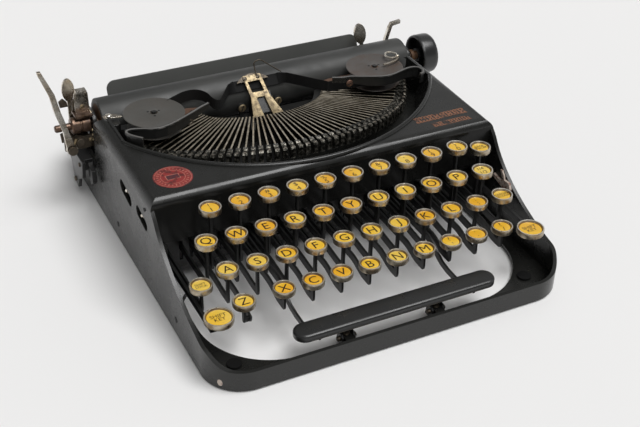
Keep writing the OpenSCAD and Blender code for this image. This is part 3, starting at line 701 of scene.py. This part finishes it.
# A stem starts this far below the top of its key's ring
STEM_DROP = 4.6
for node, name, label, x, y, z, lane, f in KEYS:
    body = node.replace("_key", "") if node.endswith("_key") else node + "_lever"
    strip = Shape()
    if lane == x:
        strip.prism(strip_outline(y, z - STEM_DROP, f), "x", x - LEVER_T / 2, x + LEVER_T / 2)
    else:
        front, back = stem_outline(y, z - STEM_DROP, f)
        strip.prism(front + [(y + 1.5, f + 0.3)] + back, "x", x - LEVER_T / 2, x + LEVER_T / 2)
        under, upper = lever_outline(y, f)
        rear = [(y - 1.7, f + 2), (y - 1, f + 0.3), (y + 0.8, f)] + under + upper
        rear += [(y + 1.5, f + 5.2), (y - 1.7, f + 4.4)]
        strip.prism(rear, "x", lane - LEVER_T / 2, lane + LEVER_T / 2)
        strip.box(min(x, lane), max(x, lane), y - 0.8, y + 0.9, f + 0.5, f + 3.9)
    mesh_piece(node + "_strip", strip, "lever", body, bevel=0.25, replaces=(node,))
    if name == "fraction":
        parts = [("1/4", 4.0, 0, 2.2), ("1/2", 4.4, 0, -2.1)]
    elif name in UPPER:
        parts = [(UPPER[name], 5.2, 0, 2.4), (label, 5.6, 0, -2.2)]
    elif "\n" in label:
        parts = [(label, 2.7, 0, 0)]
    else:
        parts = [(label, 9.0, 0, 0)]
    key_cap(node, parts, x, y, z, KEY_R, body)

# Shift keys on one bail
SHIFT_X, SHIFT_Y, SHIFT_Z, SHIFT_R, ARM_X = 106.7, 29.8, 35.6, 8.9, 111.5
SHIFT_Z0, SHIFT_Z1 = 25.5, 30.0
BAIL_Y0, BAIL_Y1 = 206.0, 210.0
bail = Shape()
stem = [
    (SHIFT_Y - 1.6, SHIFT_Z - STEM_DROP), (SHIFT_Y - 1.6, SHIFT_Z0 + 1.5), (SHIFT_Y, SHIFT_Z0 + 0.2),
    (SHIFT_Y + 1.6, SHIFT_Z0 + 1.5), (SHIFT_Y + 1.6, SHIFT_Z - STEM_DROP),
]
for s, name in ((-1, "shift_left"), (1, "shift_right")):
    key_cap(name, [("SHIFT\nKEY", 4.0, 0, 0)], s * SHIFT_X, SHIFT_Y, SHIFT_Z, SHIFT_R, "shift")
    bail.prism(stem, "x", s * SHIFT_X - 0.8, s * SHIFT_X + 0.8)
    a, b = sorted((s * SHIFT_X, s * ARM_X))
    bail.box(a - 0.6, b + 0.6, SHIFT_Y - 0.9, SHIFT_Y + 1.0, SHIFT_Z0, SHIFT_Z1)
    bail.box(s * ARM_X - 1, s * ARM_X + 1, SHIFT_Y - 0.9, BAIL_Y1, SHIFT_Z0, SHIFT_Z1)
bail.box(-ARM_X, ARM_X, BAIL_Y0, BAIL_Y1, SHIFT_Z0, SHIFT_Z1)
mesh_piece("shift_bail_arms", bail, "lever", "shift", bevel=0.3, replaces=("shift_bail",))

# Space bar
BAR_X, BAR_Y0, BAR_Y1, BAR_Z0 = 68.0, 5.0, 19.0, 18.5
SPACE_LANES = (-57.4, 47.6)
BRACKET_X = (-51.5, 54.7)
REST_X = (-33.5, 28)


def stadium(half, y0, y1, inset):
    """Plan outline of a bar with round ends, each in twelve steps."""
    r = (y1 - y0) / 2 - inset
    cy = (y0 + y1) / 2
    cx = half - (y1 - y0) / 2
    turns = [math.pi * (k / 12 - 0.5) for k in range(13)]
    right = [(cx + r * math.cos(a), cy + r * math.sin(a)) for a in turns]
    return right + [(-x, y) for x, y in right[::-1]]


def stack(layers):
    """Closed solid through outlines of equal length at given heights."""
    v = [(x, y, z) for outline, z in layers for x, y in outline]
    return Shape().add(v, skin(len(layers), len(layers[0][0])))


BAR_LAYERS = [(0.9, 0.0), (0.1, 0.6), (0.0, 1.2), (0.0, 3.7), (0.5, 4.6), (1.3, 5.1), (2.2, 5.2)]
bar = stack([(stadium(BAR_X, BAR_Y0, BAR_Y1, inset), BAR_Z0 + up) for inset, up in BAR_LAYERS])
mesh_piece("space_bar_cap", bar, "space", "space", angle=28, replaces=("space_bar",))
seam = Shape().tube([(x, BAR_Y0 + 0.12, BAR_Z0 + 1.1) for x in (-60, -20, 20, 60)], 0.16, 6)
mesh_piece("space_bar_seam", seam, "pale", "space")
arms = Shape()
ARM_UNDER = [(16, 17.4), (24, 16.4), (32, 16.3), (40, 17.6), (46, 20.4), (52, 23.6), (58, 25.2)]
ARM_UPPER = [(57, 30.4), (50, 28.4), (44, 24.6), (38, 21.6), (31, 20.4), (22, 20.2), (16, 21)]
for x in SPACE_LANES:
    arms.prism(ARM_UNDER + [(TAIL_Y, LEVER_Z0), (TAIL_Y, LEVER_Z1)] + ARM_UPPER, "x", x - 0.75, x + 0.75)
for x in BRACKET_X:
    arms.prism([(x - 3, 18.8), (x + 3, 18.8), (x + 0.6, 12.6), (x - 0.6, 12.6)], "y", 11, 12.5)
mesh_piece("space_bar_arms", arms, "lever", "space", bevel=0.25)

# Typebars
FAN_N = 53
SLUG_L, SLUG_H, SLUG_W = 9.0, 8.8, 3.2
BAR_T = 1.2
SEGMENT_Z = 57


def fan(t):
    """Inner and outer end of a bar's top edge, at t from -1 at the left to 1 at the right."""
    droop = min(1, abs(t) / 0.76) ** 2
    a, b = math.radians(65 * t), math.radians(66 * t)
    inner = Vector((53 * math.sin(a), 232.5 - 53 * math.cos(a), 66.5 - 4.6 * droop))
    outer = Vector((118 * math.sin(b), 241.5 - 118 * math.cos(b), 72.8 - 10.9 * droop))
    return inner, outer


def type_slug(run, top, half):
    """A block with a stepped face and two struck letters, along its bar's own x axis."""
    s = Shape()
    side = [
        (run - SLUG_L, top - 0.6), (run - 6.2, top - 0.1), (run - 5.4, top - 0.9), (run - 3.6, top - 0.7),
        (run - 2.8, top), (run - 0.9, top - 0.3), (run, top - 1.5), (run - 0.5, top - 3.4),
        (run - 0.1, top - 4.6), (run - 0.4, top - 7.4), (run - 0.9, top - SLUG_H), (run - 3.2, top - SLUG_H),
        (run - 4.2, top - 5.6), (run - SLUG_L, top - 5),
    ]
    s.prism(side, "y", -half, half)
    s.box(run - 2.6, run - 0.9, -half * 0.55, half * 0.55, top - 0.6, top + 0.05, 1)
    s.box(run - 6.1, run - 5.7, -half * 0.4, half * 0.4, top - 0.5, top, 1)
    return s


bars, slugs = Shape(), Shape()
for i in range(FAN_N):
    a, b = fan(2 * i / (FAN_N - 1) - 1)
    run = math.hypot(b.x - a.x, b.y - a.y)
    turn = Matrix.Translation((a.x, a.y, 0)) @ Matrix.Rotation(math.atan2(b.y - a.y, b.x - a.x), 4, "Z")
    outline = [
        (-1, SEGMENT_Z), (-1, a.z - 1.2), (0.4, a.z), (run - SLUG_L + 1, b.z - 0.5),
        (run - SLUG_L + 1, b.z - 5), (3, a.z - 4.5), (3, SEGMENT_Z),
    ]
    bars.take(Shape().prism(outline, "y", -BAR_T / 2, BAR_T / 2), lambda v: turn @ v)
    slugs.take(type_slug(run, b.z, SLUG_W / 2), lambda v: turn @ v)
mesh_piece("typebar_strips", bars, "typebar", "base", 0.15, 35, 1, ("typebars",))
mesh_piece("type_slugs", slugs, "slug pale", "base", bevel=0.25, segments=1)

# Spools, with a hub that stands a little proud and has a drive hole
SPOOL_X, SPOOL_Y, SPOOL_R, LOWER_R = 83.0, 198.0, 20.5, 18.5
CORE_R, PIN_R = 8, 1.6
SPOOL_Z0, SPOOL_Z1 = 64.6, 75.5
# Profiles are (radius, height under the upper flange's top)
LOW = SPOOL_Z0 - SPOOL_Z1
UPPER_FLANGE = [
    (2.6, -0.75), (2.6, -0.1), (2.9, 0.0), (3.4, -0.15), (4.0, -0.28), (SPOOL_R - 1.6, -0.28),
    (SPOOL_R - 0.8, -0.1), (SPOOL_R - 0.3, -0.1), (SPOOL_R, -0.35), (SPOOL_R - 0.1, -0.7),
    (SPOOL_R - 0.5, -0.8), (CORE_R, -0.8),
]
LOWER_FLANGE = [
    (CORE_R, LOW + 0.8), (LOWER_R - 0.3, LOW + 0.75), (LOWER_R, LOW + 0.4), (LOWER_R - 0.3, LOW),
    (PIN_R, LOW),
]
for side, mat, metal, body in ((-1, "spool_l", "steel", "spool_left"), (1, "spool_r", "rust", "spool_right")):
    c = Vector((side * SPOOL_X, SPOOL_Y, SPOOL_Z1))
    reel = Shape().lathe(UPPER_FLANGE, c, "z", 72)
    reel.lathe([(CORE_R, -0.8), (CORE_R, LOW + 0.8)], c, "z", 48)
    reel.lathe(LOWER_FLANGE, c, "z", 64)
    mesh_piece("ribbon_" + body + "_reel", reel, mat, body, replaces=("ribbon_" + body,))
    hub = Shape().lathe([(PIN_R, -2.2), (PIN_R, -0.35), (2.0, -0.2), (2.6, -0.3), (2.6, -0.9)], c, "z", 24)
    # Three drive holes as shallow dark dishes, painted shade in the holes
    for k in range(3):
        a = math.radians(120 * k + 20)
        hole = c + 4.2 * Vector((math.cos(a), math.sin(a), 0))
        hub.lathe([(0, -0.12), (0.75, -0.16), (0.9, -0.3)], hole, "z", 14, 1)
    # Six notches round the pin, flat dark triangles as painted shade
    for k in range(6):
        u, v = math.cos(math.radians(60 * k)), math.sin(math.radians(60 * k))
        x, y, z = c[0] + 1.4 * u, c[1] + 1.4 * v, c[2] + 0.02
        tip = (c[0] + 3.1 * u, c[1] + 3.1 * v, c[2] - 0.02)
        hub.add([(x - 0.5 * v, y + 0.5 * u, z), (x + 0.5 * v, y - 0.5 * u, z), tip], [(0, 1, 2)], 1, False)
    mesh_piece("ribbon_" + body + "_hub", hub, metal + " dark", body)


# Ribbon: (x, y, lean in degrees) of its lower edge; the left side hangs in a slack loop
RIBBON_Z, RIBBON_W, RIBBON_T = 66.3, 8.0, 0.3
MIDDLE = [(0, 217, 45), (8, 217, 45), (15.4, 217, 45), (17.2, 217, 30), (19, 217, 14), (21, 216.8, 2)]
LEFT_LOOP = [
    (-22.9, 215.8, 0), (-28, 208.8, 0), (-34, 200.5, 0), (-36.5, 198.4, 0), (-39, 198.8, 0),
    (-40.6, 202, 0), (-41, 207, 0), (-43, 212, 0), (-46.5, 215.4, 0), (-51, 216.6, 0), (-57, 215.6, 0),
    (-66, 211.6, 0), (-82, 206.5, 0),
]
RIGHT_RUN = [(22.9, 215.8, 0), (32, 205.5, 0), (42, 194.2, 0), (45, 192.2, 0), (64, 190.8, 0), (82, 189.5, 0)]


def ribbon_lift(x):
    """The slack loop bulges upward between the left spool and the middle."""
    return 1.7 * smooth((-x - 36) / 6) * smooth((x + 76) / 12)


def ribbon_shape(stations):
    """A band whose lower edge follows the plan points and whose upper edge leans back."""
    way = curve(stations, 5)
    v = []
    for i, p in enumerate(way):
        t = along(way, i)
        lean = math.radians(p.z)
        rise = Vector((0, math.sin(lean), math.cos(lean)))
        out = Vector((t.x, t.y, 0)).normalized().cross(rise).normalized() * RIBBON_T / 2
        low = Vector((p.x, p.y, RIBBON_Z + ribbon_lift(p.x)))
        high = low + rise * RIBBON_W
        v += [low - out, low + out, high + out, high - out]
    return Shape().add(v, skin(len(way), 4))


LEFT_RUN = [(-x, y, lean) for x, y, lean in MIDDLE] + LEFT_LOOP
for name, run in (("ribbon_left", LEFT_RUN), ("ribbon_right", MIDDLE + RIGHT_RUN)):
    mesh_piece(name, ribbon_shape(run), "ribbon", "base", replaces=("ribbon",))

# Type guide: brass plate, dark card holder with two screws, wire finger
clean_cad("type_guide", "brass", 0.2)
GUIDE_Y, GUIDE_Z = 200.0, 53.6
HALF_ROOT = math.sqrt(0.5)


def on_guide(u, v, w):
    """Point of the leaning plate: u across, v up its slope, w behind its front face."""
    return (u, GUIDE_Y + (v + w) * HALF_ROOT, GUIDE_Z + (v - w) * HALF_ROOT)


def in_holder(c):
    v = (c.y - GUIDE_Y + c.z - GUIDE_Z) * HALF_ROOT
    w = (c.y - GUIDE_Y - c.z + GUIDE_Z) * HALF_ROOT
    return v > 26.5 and w > 0.55


paint_faces("type_guide", "steel", in_holder)
screws = Shape()
tilt = Matrix.Rotation(math.radians(45), 4, "X")
for u, turn in ((-8.2, 40), (1.6, 100)):
    head = Shape()
    screw_head(head, 0, 0, 0, 1.5, 0.7, "z", turn)
    screws.take(head, lambda v: Vector(on_guide(u, 28.6, 0)) + tilt @ v)
mesh_piece("card_holder_screws", screws, "steel dark", "guide")
FINGER = [
    on_guide(1.0, 28.5, -0.2), (0.2, 222.4, 79.5), (0.0, 222.6, 83.6), (2.2, 222.6, 84.9), (5.4, 222.4, 84.6),
    (12.5, 221.6, 79.2), (20.0, 221.2, 73.4),
]
mesh_piece("paper_finger", Shape().tube(curve(FINGER, 6), 0.42, 8), "steel", "guide")
heads = Shape()
for x in (-15, 12.5):
    screw_head(heads, x, 209.3, 57.5, 2.9, -0.9, "y", 70)
mesh_piece("guide_post_heads", heads, "brass dark", "base")

# Lips along the top of the shields in front of the spools, lighter than the black as worn paint and as a
# painted highlight along the edge, and a brown screw and an eyelet in them
GUARD_TOP, LIP_R = 79.0, 0.85
GUARD_LEFT = [
    (-102.5, 163), (-105.6, 166.2), (-108.2, 169.4), (-109.8, 172.8), (-109, 175.6), (-105.6, 176.4),
    (-100, 174.8), (-91, 171.2), (-83, 171.8), (-77, 174), (-70, 177.4), (-62, 181.6), (-54, 186),
    (-48, 188.8),
]
GUARD_RIGHT = [
    (103.5, 168.5), (106.5, 170), (108, 173.5), (107.2, 177.6), (103.5, 179.8), (98, 179.4), (92, 177.6),
    (86, 175.8), (79, 175.6), (72, 177.8), (64, 181.2), (57, 184.4), (50, 185.6), (44, 188),
]
for name, points in (("guard_lip_left", GUARD_LEFT), ("guard_lip_right", GUARD_RIGHT)):
    lip = Shape().tube(curve([(x, y, GUARD_TOP) for x, y in points], 4), LIP_R, 8)
    mesh_piece(name, lip, "lip", "base")
details = Shape()
screw_head(details, 55.5, 184.0, 74.5, 2.6, -1.0, "y", 20)
mesh_piece("guard_screw", details, "rust dark", "base")
EYE = [(1.2, -0.5), (1.2, -0.1), (1.6, 0.0), (2.1, -0.1), (2.2, -0.5)]
eye = Shape().lathe(EYE, (-64.5, 179.8, 73.5), "y", 24)
mesh_piece("guard_eyelet", eye, "pale", "base")

# Ribbon reverse lever beside the left spool, and the spring finger over the right one
LEVER_PLAN = [(-114, 212.5), (-107, 213.0), (-102, 208.6), (-102, 206.6), (-108, 207.8), (-113, 208.6)]
reverse = Shape().prism(LEVER_PLAN, "z", 71.2, 72.2)
reverse.lathe([(0, 1.6), (1.4, 1.5), (2.2, 0.9), (2.4, 0.0)], (-110.5, 210.4, 72.2), "z", 20)
reverse.tube([(-111.5, 212, 72), (-112, 212.4, 68), (-111.8, 212.4, 63.4)], 0.7, 8)
mesh_piece("ribbon_reverse_lever", reverse, "nickel", "base", bevel=0.2)
BOX_PLAN = [(-112, 210), (-104.4, 210), (-104.4, 203.4), (-106.5, 201.6), (-112, 203)]
box = Shape().prism(BOX_PLAN, "z", 63.3, 69.4)
mesh_piece("reverse_lever_box", box, "frame", "base", bevel=0.5)
leaf = curve([(88.6, 194.6, 77.2), (94, 195.0, 77.4), (100, 196.6, 77.6), (103.4, 199.5, 77.9)], 5)
spring = Shape().band(leaf, (0, 0, 0.45), (0, 0.9, 0))
turns = [math.radians(15 * k - 60) for k in range(25)]
spring.tube([(99.6 + 4.1 * math.cos(a), 204.2 + 4.6 * math.sin(a), 78.2) for a in turns], 0.75, 8)
spring.tube([(104.6, 202.0, 78.0), (106.2, 204.5, 74.0), (106.2, 206.5, 63.2)], 0.6, 8)
mesh_piece("spool_spring_finger", spring, "nickel", "base")

# Plates at the inner ends of the ribbon cups, brown with age
CUP_PLATE = [
    (76, 196), (66, 200), (56, 204), (48, 205.5), (44.5, 207.5), (43.5, 210), (47, 212.5),
    (54, 214.5), (76, 214.5),
]
CUP_PLATE_Z0, CUP_PLATE_Z1 = 63.2, 63.6
for side, name in ((-1, "cup_plate_left"), (1, "cup_plate_right")):
    plate = Shape().prism([(side * x, y) for x, y in CUP_PLATE], "z", CUP_PLATE_Z0, CUP_PLATE_Z1)
    screw_head(plate, side * 53, 209, CUP_PLATE_Z1, 1.5, 0.5, "z", 50)
    mesh_piece(name, plate, "rust dark", "base")

# Carriage
# Profiles of the turning pieces are (radius, x), from left to right, round the platen's axis
AXIS = (0, 232.0, 58.0)
ROLLER = [
    (12.2, -112.0), (14.6, -112.1), (15.3, -111.7), (15.5, -111.0),
    (15.5, 123.0), (15.3, 123.7), (14.6, 124.1), (12.2, 124.0),
]
SHAFT = [
    (0, -142), (1.8, -142), (2.5, -141.2), (2.5, -131.2), (5.0, -131), (5.8, -130.2), (5.8, -125.4),
    (5.1, -125.0), (5.1, -124.0), (5.8, -123.6), (5.8, -118.4), (5.0, -117.6), (2.5, -117.4), (2.5, -112),
]
COLLAR = [
    (2.5, 124), (2.5, 129), (3.2, 129), (3.4, 129.4), (3.4, 132.5), (4.6, 132.6), (4.8, 133.0), (4.8, 135.1),
    (4.5, 135.5), (3.4, 135.5), (3.4, 138.4),
]
KNOB = [
    (3.3, 138.2), (4.7, 138.2), (5.0, 138.6), (5.0, 144.2), (6.0, 144.6), (12.4, 144.6), (13.0, 144.0),
    (13.0, 138.3), (13.5, 137.5), (14.4, 137.6), (14.9, 138.4), (15.0, 140.0), (15.0, 147.0), (14.7, 148.8),
    (13.8, 150.0), (12.2, 150.7), (9.0, 151.0), (6.0, 150.9), (0, 150.8),
]
roll = Shape().lathe(ROLLER, AXIS, "x", 72)
roll.lathe([(2.5, -112.0), (12.4, -111.9)], AXIS, "x", 72, 1)
roll.lathe([(12.4, 123.9), (2.5, 124.0)], AXIS, "x", 72, 1)
mesh_piece(
    "platen_roller", roll, "rubber core", "platen_roll", replaces=("platen",)
)
for name, profile, n, mat, slot in (
    ("platen_shaft", SHAFT, 32, "bronze", "aged_nickel"),
    ("platen_collar", COLLAR, 32, "core", "typebar_steel"),
    ("platen_knob", KNOB, 64, "knob", "space_bar_black"),
):
    mesh_piece(name, Shape().lathe(profile, AXIS, "x", n), mat, "platen_roll")
clean_cad("return_lever", "nickel", 0.6, 3)
clean_cad("carriage_release", "nickel", 0.3)
clean_cad("paper_release", "nickel", 0.5)

# Line-space works at the left end of the carriage, as (x, z) plates
PLATE = [(-136.4, 42.4), (-137, 49), (-131, 52), (-129, 63), (-124, 64.8), (-118, 64.8), (-118, 42.4)]
works = Shape().prism(PLATE, "y", 238.6, 240.2)
works.prism([(-131, 42), (-132, 47), (-127.4, 50.6), (-119.4, 50), (-119.4, 42)], "y", 230.7, 233)
works.lathe([(0, 0), (2.6, 0), (2.9, 0.4), (2.9, 5.4), (0, 5.4)], (-126.4, 225.8, 47.2), "y", 20)
works.tube([(-119, 236, 45.5), (-119, 246, 45.5), (-119, 252, 47)], 1.2, 8)
mesh_piece("line_space_works", works, "steel", "carriage", bevel=0.3)
bright = Shape()
screw_head(bright, -121.6, 232.9, 70.6, 1.5, -0.6, "y", 25)
screw_head(bright, -127.5, 230.6, 55.0, 1.6, -1.4, "y", 60)
screw_head(bright, -118.8, 227.8, 47.5, 1.7, -1.0, "y", 10)
bright.tube(curve([(-130.2, 226.6, 42.6), (-130.8, 226.6, 46.6), (-129.4, 226.6, 50.4)], 4), 0.9, 8)
for z in (49.5, 53.4, 57.0):
    bright.tube([(-118.9, 223.6, z), (-116.2, 222.6, z - 0.6)], 0.9, 8)
mesh_piece("line_space_bright_parts", bright, "brass dark", "carriage")

# Hanger at the left rear wall, as (y, z) plates on two pins
HANGER = [(215, 38), (246, 38), (249, 31), (243, 22), (240, 11), (232, 9), (228, 18), (218, 24)]
hanger = Shape().prism(HANGER, "x", -130, -127.6)
hanger.prism([(220, 37), (244, 37), (240, 20), (224, 26)], "x", -127.7, -120.7)
hanger.prism([(208, 34), (216, 37), (216, 27), (211, 22), (207, 26)], "x", -126, -122.5)
hanger.tube([(-131.2, 236, 14), (-127, 236, 14)], 1.8, 10, 1)
hanger.tube([(-131, 222, 33), (-127, 222, 33)], 1.5, 10, 1)
mesh_piece("left_rear_hanger", hanger, "lever steel", "base", bevel=0.4)

# Pawls of the line-space works, as (x, z) plates
PAWL = [(-127.6, 66.5), (-127.4, 74), (-125.6, 75.6), (-124.6, 73.6), (-125.0, 66.5)]
CATCH = [(-133.8, 66.0), (-134.4, 70.4), (-131.4, 72.4), (-128.8, 69.6), (-128.2, 66.0)]
pawls = Shape().prism(PAWL, "y", 236.2, 238).prism(CATCH, "y", 244.6, 246.4)
mesh_piece("line_space_pawls", pawls, "steel", "carriage", bevel=0.3)

# Prints on the hood: a round transfer at the left and a worn ornament at the right
HOOD_Z = 74.0
# A print's ground and its lines lie this high on the paint
GROUND_Z, LINE_Z = HOOD_Z + 0.05, HOOD_Z + 0.08
DASHES = 26
cx, cy = -98.6, 120.6
decal = Shape().lathe([(0, 0.05), (9.8, 0.05), (12.1, 0.05), (12.2, 0.0)], (cx, cy, HOOD_Z), "z", 64)
for r0, r1 in ((11.1, 11.4), (7.4, 7.7)):
    decal.lathe([(r0, 0.05), (r0, 0.08), (r1, 0.08), (r1, 0.05)], (cx, cy, HOOD_Z), "z", 64, 1)
for k in range(DASHES):
    a = 2 * math.pi * k / DASHES
    reach = 0.9 if k % 3 else 0.6
    c, s = math.cos(a), math.sin(a)
    ends = ((9.4 - reach, -0.3), (9.4 + reach, -0.3), (9.4 + reach, 0.3), (9.4 - reach, 0.3))
    decal.prism([(cx + c * p - s * q, cy + s * p + c * q) for p, q in ends], "z", GROUND_Z, LINE_Z, 1)
decal.box(cx - 4.4, cx + 4.4, cy - 2.6, cy + 2.6, GROUND_Z, HOOD_Z + 0.07, 1)
decal.box(cx - 4.0, cx + 4.0, cy - 2.2, cy + 2.2, HOOD_Z + 0.07, HOOD_Z + 0.09, 2)
mesh_piece("hood_transfer", decal, "red red_line plum", "base")
ornament = Shape()
# Each row of interlaced loops: y, x from and to, height, number of loops
for row_y, x0, x1, size, loops in ((119.6, 70.5, 109.5, 3.4, 8), (110.2, 79, 107.5, 2.5, 7)):
    for shift in (0, 1):
        wave = []
        for k in range(8 * loops + 1):
            t = k / 8
            x = x0 + (x1 - x0) * (t + 0.22 * math.sin(4 * math.pi * t)) / loops
            y = row_y + size * math.cos(2 * math.pi * t + math.pi * shift)
            wave.append((x, y, GROUND_Z + 0.02 * shift))
        ornament.band(wave, (0.16 * size, 0.1 * size, 0), (0, 0, 0.015))
    for k in range(loops):
        middle = (x0 + (x1 - x0) * (k + 0.5) / loops, row_y, HOOD_Z)
        ornament.lathe([(0, 0.09), (0.17 * size, 0.08), (0.2 * size, 0.0)], middle, "z", 10)
mesh_piece("hood_ornament", ornament, "gold", "base")

# Small things on the body
WALL_X = 120.8
BRACKET = [
    (69, 33.5), (72, 32.5), (79, 35.5), (88, 37.2), (88.6, 40), (80, 39.2), (76, 41.6), (70.5, 41.8),
    (68.4, 38),
]
right = Shape().prism(BRACKET, "x", 116.4, 118.3)
right.prism([(76, 41), (79, 41.6), (82, 46.4), (80, 47), (77, 44)], "x", 116.8, 118.0)
mesh_piece("right_wall_bracket", right, "cream", "base", bevel=0.4)
links = Shape()
for y, z in ((146, 53.6), (151, 51.4), (117, 53), (121.6, 50.6)):
    links.tube([(-WALL_X + 1.2, y, z), (-WALL_X + 3.4, y + 0.6, z - 0.4)], 1.0, 8)
for y0, z0, y1, z1 in ((140, 50.2, 156, 53.2), (111.6, 50.2, 124.6, 52.6)):
    links.band([(-WALL_X + 2.6, y0, z0), (-WALL_X + 2.6, y1, z1)], (0, 0, 0.6), (0.4, 0, 0))
mesh_piece("wall_slot_links", links, "nickel", "base")
pins = Shape().lathe([(0, -0.9), (0.9, -0.8), (1.2, -0.3), (1.2, 2.0)], (-WALL_X, 111, 62), "x", 16)
for y, z in ((64, 12), (172, 13), (258, 14)):
    screw_head(pins, -WALL_X, y, z, 2.0, -0.55, "x", 30)
    screw_head(pins, WALL_X, y, z, 2.0, 0.55, "x", 70)
mesh_piece("wall_screws", pins, "frame dark", "base")
CHEEK = [(8.5, 4.0), (8.5, 10.6), (10.2, 12.2), (13.2, 12.4), (15.4, 10.8), (16.6, 4.0)]
CLAMP_PIN = [(0, 6.4), (1.3, 6.2), (1.6, 5.6), (1.6, -5.6), (1.3, -6.2), (0, -6.4)]
clamps = Shape()
for x in REST_X:
    for side in (-1, 1):
        clamps.prism(CHEEK, "x", x + side * 3.9 - 0.6, x + side * 3.9 + 0.6)
    clamps.lathe(CLAMP_PIN, (x, 11.8, 8.6), "x", 16, 1)
    screw_head(clamps, x, 12.2, 11.0, 2.2, 0.8, "z", 35, (1, 2))
mesh_piece("rest_clamps", clamps, "lever steel dark", "base", bevel=0.2)

# Bare spot on the round front corner, just proud of the paint
CORNER_X, CORNER_R, SPOT_R = -95.8, 25.0, 25.06
rim = []
for k in range(20):
    a = 2 * math.pi * k / 20
    turn = math.radians(39) + 1.7 * math.cos(a) / CORNER_R
    x, y = CORNER_X - SPOT_R * math.cos(turn), CORNER_R - SPOT_R * math.sin(turn)
    rim.append((x, y, 5.4 + 2.3 * math.sin(a)))
spot = Shape().add(rim, [range(20)], 0, False)
mesh_piece("corner_worn_spot", spot, "cream", "base")
CATCH_PATH = [(-119.4, 58, 26.0), (-118.6, 57, 30.0), (-117.7, 55.5, 34.0), (-117.2, 54.0, 37.0)]
lock = Shape().band(curve(CATCH_PATH, 5), (0, 1.2, 0), (0.35, 0, 0))
mesh_piece("shift_lock_catch", lock, "lever", "base")


# Floor, lights, camera
def floor():
    half = 6
    me = bpy.data.meshes.new("floor")
    corners = [(-half, -half, 0), (half, -half, 0), (half, half, 0), (-half, half, 0)]
    me.from_pydata(corners, [], [(0, 1, 2, 3)])
    me.materials.append(Mat("floor_white", (0.82, 0.815, 0.81), 0.9, spec=0.2).m)
    ob = add_object("floor", me)
    ob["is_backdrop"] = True


floor()


def sun(name, direction, strength, angle):
    """Direction points from the light towards the object."""
    d = bpy.data.lights.new(name, "SUN")
    d.energy = strength
    d.angle = math.radians(angle)
    ob = add_object(name, d)
    ob.rotation_mode = "QUATERNION"
    ob.rotation_quaternion = Vector(direction).normalized().to_track_quat("-Z", "Y")


sun("key_light", (-0.32, 0.2, -0.95), 1.8, 32)
sun("front_light", (0.12, 0.8, -1.2), 1.0, 30)


def studio_world():
    """A room that is bright near the horizon and dim above and at the left."""
    world = bpy.data.worlds.new("world")
    world.use_nodes = True
    w = Tree(world.node_tree)
    view = w.node("TexCoord").outputs["Generated"]
    split = w.node("SeparateXYZ")
    w.link(view, split.inputs[0])
    sky = w.ramp(split.outputs["Z"], [(0.05, (0.95, 0.95, 0.96)), (0.45, 0.13), (0.9, 0.3)])
    dark_screen = w.spread(w.dot(view, (0.56, -0.79, 0.25)), 0.84, 0.97, 1.0, 0.3)
    dim_left = w.spread(split.outputs["X"], -0.9, -0.2, 0.5, 1.0)
    pale_panel = w.spread(w.dot(view, (0.6, 0.62, 0.5)), 0.93, 0.99, 1.0, 2.4)
    level = w.math("MULTIPLY", w.math("MULTIPLY", dark_screen, dim_left), pale_panel)
    scale = w.node("VectorMath", "SCALE")
    w.link(sky, scale.inputs[0])
    w.link(level, scale.inputs["Scale"])
    w.link(scale.outputs["Vector"], w.t.nodes["Background"].inputs["Color"])
    w.t.nodes["Background"].inputs["Strength"].default_value = 1.0
    bpy.context.scene.world = world


studio_world()

# The photograph's camera: degrees, drawing millimetres, and the focal length in pixels
AZ, EL, ROLL, DIST = -27.378, 34.266, 1.767, 808.06
TARGET, FOCAL = (15.35, 144.98, 0.0), 1161.72
PHOTO_W, SENSOR_W = 640, 36


def camera():
    a, e, r = map(math.radians, (AZ, EL, ROLL))
    back = Vector((math.sin(a) * math.cos(e), -math.cos(a) * math.cos(e), math.sin(e)))
    right = (-back).cross(Vector((0, 0, 1))).normalized()
    up = right.cross(-back)
    x = right * math.cos(r) + up * math.sin(r)
    y = up * math.cos(r) - right * math.sin(r)
    cam = bpy.data.cameras.new("camera")
    cam.lens = FOCAL / PHOTO_W * SENSOR_W
    cam.sensor_width = SENSOR_W
    cam.sensor_fit = "HORIZONTAL"
    cam.clip_start, cam.clip_end = 0.01, 50
    ob = add_object("camera", cam)
    m = Matrix((x, y, back)).transposed().to_4x4()
    m.translation = at(*(Vector(TARGET) + back * DIST))
    ob.matrix_world = m
    bpy.context.scene.camera = ob


camera()
bpy.context.scene.view_settings.view_transform = "Standard"

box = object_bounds()
